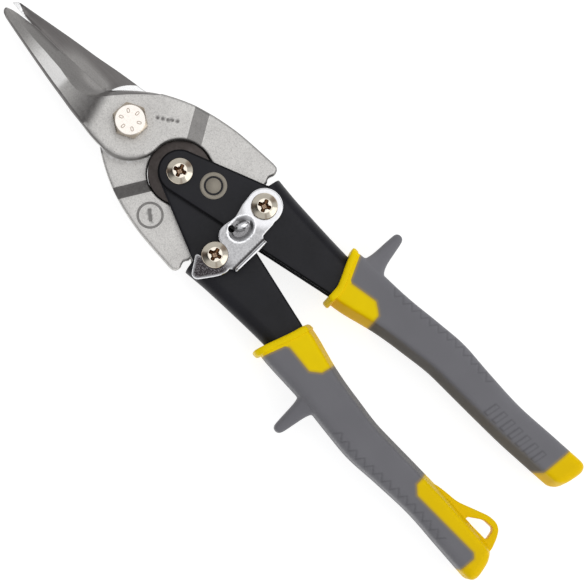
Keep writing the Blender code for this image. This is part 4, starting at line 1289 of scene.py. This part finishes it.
RIGHT_COLLAR = through([(2.0, -89.4), (6.0, -89.2), (10.4, -88.9), (12.0, -88.3), (19.45, -84.9), (22.4, -83.8),
                        (26.0, -82.4)])
LEFT_COLLAR = through([(2.0, -92.0), (5.2, -90.9), (11.6, -89.1), (22.2, -85.4), (27.0, -84.0)])
RIGHT_PANEL = [(-80.0, -2.0), (-80.0, 31.0), (-84.0, 31.0), (-87.1, 22.5), (-90.6, 15.0), (-91.6, 14.4),
               (-101.7, 16.1), (-104.3, 14.4), (-105.8, 13.2), (-106.4, 7.7), (-106.4, -2.0)]
LEFT_PANEL = [(-80.0, -2.0), (-80.0, 32.0), (-85.2, 32.0), (-87.8, 24.85), (-90.9, 16.4), (-92.4, 15.7),
              (-102.6, 16.7), (-106.0, 14.0), (-107.1, 9.25), (-107.1, -2.0)]
RIGHT_CAP = [(-177.6, 4.0), (-178.1, 11.5), (-182.4, 15.5), (-183.4, 26.5), (-183.6, 34.0), (-198.0, 34.0),
             (-198.0, 4.0)]
LEFT_STRIP = [(-154.6, 4.0), (-154.8, 17.7), (-157.6, 20.2), (-184.5, 20.2), (-186.0, 21.6), (-185.5, 28.3),
              (-185.4, 34.0), (-198.0, 34.0), (-198.0, 4.0)]


def grip_section(u0, u1, half):
    """Section of a grip, drafted on the side towards the other handle, its corners rounded."""
    flat = 1.4
    corners = [(u1, -half), (u1, half), (u0 + DRAFT, half), (u0, flat), (u0, -flat), (u0 + DRAFT, -half)]
    return rounded(corners, GRIP_CORNERS, 8)


def grip_ring(x, inset, tilt):
    u0, u1 = float(GRIP_INNER(x)) + inset, float(GRIP_OUTER(x)) - inset
    middle = (u0 + u1) / 2
    return [(x + tilt * (u - middle), -u, z) for u, z in grip_section(u0, u1, float(GRIP_HALF(x)) - inset)]


def grip_loft(x0, x1, inset, round_end=False):
    straight = x1 + 3.4 if round_end else x1
    rings = [grip_ring(x, inset, float(GRIP_TILT(x))) for x in np.linspace(x0, straight, 60)]
    if round_end:
        rings += [grip_ring(x1 + back, inset + more, -0.2) for back, more in END_ROUNDING]
    return loft(rings)


def zone_prism(outline, grow):
    return prism([(x, -u) for x, u in rounded(grown(outline, grow), 0.6, 4)], -14.0, 14.0)


def grown(outline, by):
    """The outline with every side moved out by this much."""
    turn = math.copysign(1.0, area(outline))
    lines = []
    for a, b in zip(outline, outline[1:] + outline[:1]):
        n = np.array([b[1] - a[1], a[0] - b[0]])
        n = n / np.linalg.norm(n) * turn
        lines.append((n, n @ np.array(a) + by))
    return [tuple(np.linalg.solve(np.array([n0, n1]), (d0, d1)))
            for (n0, d0), (n1, d1) in zip(lines[-1:] + lines[:-1], lines)]


GUARD = [(20.5, 4.6, 6.6, 8.2), (23.2, 3.8, 5.8, 7.7), (24.6, 3.4, 4.8, 7.2), (26.2, 3.05, 3.8, 6.6),
         (28.5, 2.8, 3.0, 6.0), (33.0, 2.6, 2.1, 5.2), (37.2, 2.3, 1.2, 4.5), (38.1, 1.6, 0.5, 3.9),
         (38.4, 0.8, -0.3, 3.2)]


def guard(x):
    """The finger guard: x behind and ahead of its middle, and its half height, at each distance out."""
    ahead, behind, half = (through([(s[0], s[i]) for s in GUARD]) for i in (1, 2, 3))
    rings = []
    for u in (*np.linspace(20.5, 37.2, 16), 37.7, 38.1, 38.3, 38.4):
        f, b, h = float(ahead(u)), float(behind(u)), float(half(u))
        r = min(1.9, (f + b) * 0.48)
        corners = [(x + f - r, h - r), (x - b + r, h - r), (x - b + r, r - h), (x + f - r, r - h)]
        rings.append([(px, -u, z) for k, corner in enumerate(corners)
                      for px, z in arc(corner, r, 90 * k, 90 * k + 90, 6)])
    return loft(rings)


HANG_LOOP = [(-157.0, 17.0), (-158.5, 12.9), (-163.0, 12.1), (-169.0, 11.6), (-174.5, 9.4), (-180.0, 7.3),
             (-183.3, 7.1), (-185.6, 8.2), (-187.2, 10.8), (-188.6, 14.6), (-188.6, 17.0)]
HANG_HOLE = [(-175.0, 13.75), (-175.2, 12.6), (-179.8, 9.35), (-183.6, 9.2), (-184.5, 10.2), (-185.2, 13.75)]


def hang_loop(side):
    outer, hole = ([(x, -u) for x, u in rounded(line, r)] for line, r in ((HANG_LOOP, 2.2), (HANG_HOLE, 1.2)))
    obj = helper("loop", prism(outer, -3.0, 3.0), side)
    carve(obj, prism(hole, -5.0, 5.0), side)
    return bevel(obj, 0.8, 3, 50)


def grip_hollow():
    """The space that the handle's tang fills, a little larger all round."""
    gap = 0.3
    outer = [(x, -u - gap) for x, u in along(SPINE, -80.0, TANG_END_X, 24)]
    inner = [(x, -u + gap) for x, u in along(TANG_INNER, TANG_END_X, -89.5, 20)]
    end = [(TANG_END_X - gap, outer[-1][1]), (TANG_END_X - gap, inner[0][1])]
    lead_in = [(-80.0, -INNER_EDGE_END[1] + 2.5)]
    return prism(outer + end + inner + lead_in, CHANNEL_BACK_Z - gap, CHANNEL_FRONT_Z + gap)


def collar(line, u0, u1):
    """The flange at a grip's mouth; the line gives x of its front face at each u."""
    half = float(GRIP_HALF(-88.0)) + 0.6
    section = [(u, float(np.clip(z, REST_Z, -REST_Z))) for u, z in grip_section(u0, u1, half)]
    return slab(section, 0.8, lambda u, z: line(u), lambda u, z: line(u) - COLLAR_T, edge=0.6,
                shape=lambda u, z, h: np.column_stack([h, -u, z]), rows=(0.2, 0.6, 1.0))


def zigzag(low, high):
    """A line to and fro along the outer front corner of a grip."""
    xs = np.arange(high, low, -1.9)
    return [(float(x), float(GRIP_OUTER(x)) - (0.9, 3.1)[i % 2]) for i, x in enumerate(xs)]


BARS = [[(x - 0.3, 15.6), (x - 2.0, 15.6), (x - 2.9, 20.4), (x - 1.2, 20.4)]
        for x in np.arange(-153.4, -176.0, -3.7)]


def relief(obj, side, hatch, bars):
    """Presses the hatching into a grip's skin and raises its plain slanted bars, on the front face."""
    co, normal = (read(obj.data.vertices, name) for name in ("co", "normal"))
    points = to_design(co, side)
    plan = np.column_stack([points[:, 0], -points[:, 1]])
    front = points[:, 2] * side > 2
    d, _ = distances(plan, [there_and_back(hatch)])
    push = -0.16 * (1 - smoothstep(d, 0.1, 0.38)) * front
    for bar in bars:
        d, _ = distances(plan, [bar])
        d = np.where(inside(plan, bar), -d, d)
        push += 0.22 * (1 - smoothstep(d, -0.25, 0.2)) * front
    co += normal * (push * MM)[:, None]
    obj.data.vertices.foreach_set("co", co.ravel())
    obj.data.update()


def grip_masks(zones, hatch, bars, side):
    """Where the two colours bleed into each other, the painted shade on the inner walls, the deeper yellow
    towards the far end, and the painted shade in the relief.
    """
    def bleed(x, y, z):
        return 0.6 * (1 - smoothstep(off_lines(x, -y, zones), 0.0, 1.0))

    def wall_shade_and_end_tone(x, y, z):
        # Painted shade on the inner wall, stronger on the right grip; the yellow is also deeper towards the far
        # end.
        plan = np.column_stack([x, -y])
        yellow = np.maximum.reduce([inside(plan, zone) for zone in zones])
        inner_wall = 1 - smoothstep(-y - GRIP_INNER(x), DRAFT - 0.7, DRAFT + 0.1)
        far_end = 0.45 * smoothstep(-x, 140, 160) + 0.25 * smoothstep(-x, 176, 192)
        return np.maximum((0.75 + 0.25 * side) * inner_wall * (x < COLLAR_END_X), far_end * yellow)

    # Painted shade in the hatching's grooves and round the bars.
    def relief_shade(x, y, z):
        shade = 0.3 * (1 - smoothstep(off_lines(x, -y, [there_and_back(hatch)]), 0.1, 0.4))
        if bars:
            near_bars = 1 - smoothstep(off_lines(x, -y, bars), 0.05, 0.45)
            shade = np.maximum(shade, 0.4 * near_bars * (x < -150))
        return shade * (z * side > 2)

    return bleed, wall_shade_and_end_tone, relief_shade


def grip(hand, side, zones, flange, start_x, guard_x, hatch, bars, yellow, grey, loop):
    """A grip: one outer skin, shared out between the yellow core's windows and the grey overmould."""
    body = f"{hand}_handle"
    skin = helper("skin", grip_loft(start_x, GRIP_END_X, 0.0, round_end=True), side)
    join(skin, guard(guard_x), side)
    remesh(skin, SKIN_VOXEL)
    relief(skin, side, hatch, bars)
    bleed, wall_shade_and_end_tone, relief_shade = grip_masks(zones, hatch, bars, side)

    name = f"{hand}_grip_core"
    core = helper(name, grip_loft(-90.0, GRIP_END_X + 6, OVERMOULD_T + 0.15), side)
    for outline in zones:
        patch = linked("patch", skin.data.copy())
        combine(patch, helper("zone", zone_prism(outline, -SEAM), side), "INTERSECT")
        combine(core, patch, "UNION")
    join(core, flange, side)
    if loop:
        combine(core, hang_loop(side), "UNION")
    carve(core, grip_hollow(), side)
    paint_zones(core, (lambda x, y, z: bleed(x, y, z) * (x < COLLAR_END_X), wall_shade_and_end_tone, relief_shade), side)
    finish_piece(core, yellow, body, "hard_yellow", [name], 32)

    name = f"{hand}_grip_overmould"
    carve(skin, grip_loft(-84.0, GRIP_END_X - 2, OVERMOULD_T), side)
    for outline in zones:
        carve(skin, zone_prism(outline, SEAM), side)
    skin.name = name
    paint_zones(skin, (bleed, wall_shade_and_end_tone, relief_shade), side)
    finish_piece(skin, grey, body, "soft_grey", [name], 50)


# ---- stage ----

TARGET = Vector((-79.47, 1.47, 3.0))
VIEW_RAY = Vector((-0.0155, 0.0948, 1.0)).normalized()
VIEW_RIGHT = Vector((0.7101, -0.7041, 0.0)).cross(VIEW_RAY).normalized()
VIEW_UP = VIEW_RAY.cross(VIEW_RIGHT)
CAMERA_DISTANCE, FOCAL_LENGTH = 900.0, 163.98
DOME, FLAG_CORE, TENT_WHITE = 0.62, 0.45, (0.98, 0.985, 1.0)
FLOOR_HALF, FLOOR_DROP = 4.0, 0.0002


def toward(hour, tilt):
    """The direction of a clock hour in the view, tilted this many degrees from the camera's axis."""
    a, t = math.radians(90 - hour * 30), math.radians(tilt)
    return (VIEW_RIGHT * math.cos(a) + VIEW_UP * math.sin(a)) * math.sin(t) + VIEW_RAY * math.cos(t)


def stage():
    make_floor()
    camera = linked("camera", bpy.data.cameras.new("camera"))
    camera.data.lens = FOCAL_LENGTH
    camera.data.sensor_width = 36.0
    camera.data.clip_end = 20
    pose = Matrix((VIEW_RIGHT, VIEW_UP, VIEW_RAY)).transposed().to_4x4()
    pose.translation = ORIGIN + (TARGET + VIEW_RAY * CAMERA_DISTANCE) * MM
    camera.matrix_world = pose
    bpy.context.scene.camera = camera
    bpy.context.scene.view_settings.view_transform = "Standard"
    studio_dome([(toward(8.7, 78), 44, 0.9), (toward(1.75, 54), 17, 0.85)])
    soft_box("overhead", VIEW_RIGHT * 0.3 + VIEW_UP * 0.25 + VIEW_RAY * 0.95, (0.85, 0.85), 0.75)
    soft_box("key", toward(3.6, 50) * 0.75, (0.6, 0.5), 1.0)


def studio_dome(flags):
    """A soft white tent with black flags: each is a direction, its angular radius and its darkness."""
    world = bpy.data.worlds.new("studio")
    world.use_nodes = True
    dome = Nodes(world.node_tree)
    place = dome.node("ShaderNodeTexCoord", {}).outputs["Generated"]
    level = DOME
    for direction, radius, depth in flags:
        dot = dome.node("ShaderNodeVectorMath", {0: place, 1: direction}, operation="DOT_PRODUCT")
        edge, core = (math.cos(math.radians(r)) for r in (radius, radius * FLAG_CORE))
        fade = dome.node("ShaderNodeMapRange", {
            "Value": dot.outputs["Value"], "From Min": edge, "From Max": core, "To Min": 1.0,
            "To Max": 1.0 - depth}, interpolation_type="SMOOTHSTEP").outputs["Result"]
        level = dome.node("ShaderNodeMath", {0: fade, 1: level}, operation="MULTIPLY").outputs[0]
    background = world.node_tree.nodes["Background"]
    dome.put(TENT_WHITE, background.inputs["Color"])
    dome.put(level, background.inputs["Strength"])
    bpy.context.scene.world = world


def soft_box(name, offset, size, radiance):
    light = bpy.data.lights.new(name, "AREA")
    light.shape = "RECTANGLE"
    light.size, light.size_y = size
    light.energy = radiance * math.pi * size[0] * size[1]
    obj = linked(name, light)
    obj.location = ORIGIN + TARGET * MM + offset
    obj.rotation_euler = (-offset).to_track_quat("-Z", "Y").to_euler()


def make_floor():
    mesh = bpy.data.meshes.new("floor")
    mesh.from_pydata([(x, y, 0) for x, y in oblong(FLOOR_HALF, FLOOR_HALF)], [], [(0, 1, 2, 3)])
    floor = linked("floor", mesh)
    floor.location.z = -FLOOR_DROP
    f = Finish("pale_floor", (0.35, 0.35, 0.35), 0.0, 0.9)
    f.set("Base Color", f.ramp(f.noise(60.0, 2), [(0.3, 0.34), (0.7, 0.36)]))
    f.set("Emission Color", (1, 1, 1))
    f.set("Emission Strength", 0.82)
    mesh.materials.append(f.mat)


def main():
    steel = forged_steel()
    paint = black_paint("black_paint", 0.85, 0.22)
    # Darker, duller paint as the painted shade along the handles' inner edges.
    shaded_edge_paint = black_paint("black_paint_shaded_edge", 0.3, 0.1)
    nickel = plated("nickel", (0.78, 0.715, 0.6), (0.7, 0.64, 0.53), (0.13, 0.22))
    zinc = plated("zinc", (0.66, 0.6, 0.5), (0.56, 0.5, 0.41), (0.2, 0.32))
    bright = bright_zinc()
    dull = plated("dull_disc", (0.09, 0.078, 0.074), (0.07, 0.06, 0.056), (0.35, 0.5))
    wire_steel = plated("spring_wire", (0.5, 0.48, 0.46), (0.4, 0.38, 0.36), (0.25, 0.35))
    bled = (0.5, 0.33, 0.05)
    # The third colour of each plastic is its painted shade on the inner walls, and for the yellow also its
    # deeper tone towards the far end.
    yellow = moulded("hard_yellow", (0.96, 0.7, 0.001), (0.9, 0.65, 0.001), (0.36, 0.46), 0.12, bled,
                     (0.83, 0.52, 0.0), 0.06)
    grey = moulded("soft_grey", (0.19, 0.188, 0.203), (0.172, 0.17, 0.184), (0.55, 0.68), 0.3, bled,
                   (0.075, 0.066, 0.056), sheen=0.12)

    blade("front_blade", FRONT_CUT, FRONT_TIP, FRONT_OUTER, 1, steel)
    blade("rear_blade", REAR_CUT, REAR_TIP, REAR_OUTER, -1, steel)
    channel_handle("right_handle", 1, paint, shaded_edge_paint)
    channel_handle("left_handle", -1, paint, shaded_edge_paint)
    badge("right_handle")
    front, back, play = CHANNEL_FRONT_Z, CHANNEL_BACK_Z, 0.3
    over_latch = LATCH_Z + 1.5 + play
    links = (("handle_pivot", HANDLE_PIVOT, "left_handle"), ("right_link", RIGHT_LINK, "right_handle"),
             ("left_link", LEFT_LINK, "left_handle"))
    screws = (front + play, -front + 1.0, 0.35), (over_latch, back + 1.0, 0.42), (over_latch, -front + 1.0, 0.3)
    nuts = (-front - play, front, 0.5), (back - play, over_latch - 0.15, 1.2), (-front - play, -back, -0.4)
    for build, kind, spans in ((cross_screw, "screw", screws), (barrel_nut, "nut", nuts)):
        for (place, centre, body), (base, end, turn) in zip(links, spans):
            build(f"{place}_{kind}", centre, base, end, body, turn, nickel)
    pivot_bolt("front_blade", zinc)
    pivot_nut("front_blade", zinc)
    latch(bright)
    for hand in ("right", "left"):
        for face in ("front", "back"):
            washer(f"{hand}_link_washer_{face}", f"{hand}_handle", nickel, "plated_steel")
    washer("latch_washer", "right_handle", bright, "bright_plate")
    for face in ("front", "back"):
        washer(f"spring_disc_{face}", "left_handle", dull, "disc_steel", 1.45)
    return_spring(wire_steel)
    grip("right", 1, [RIGHT_PANEL, RIGHT_CAP], collar(RIGHT_COLLAR, 3.3, 23.9), -88.6, -92.4,
         zigzag(-150.0, -103.0), BARS, yellow, grey, loop=False)
    grip("left", -1, [LEFT_PANEL, LEFT_STRIP], collar(LEFT_COLLAR, 4.7, 25.3), -89.2, -109.6,
         zigzag(-175.0, -123.0), [], yellow, grey, loop=True)
    stage()


main()
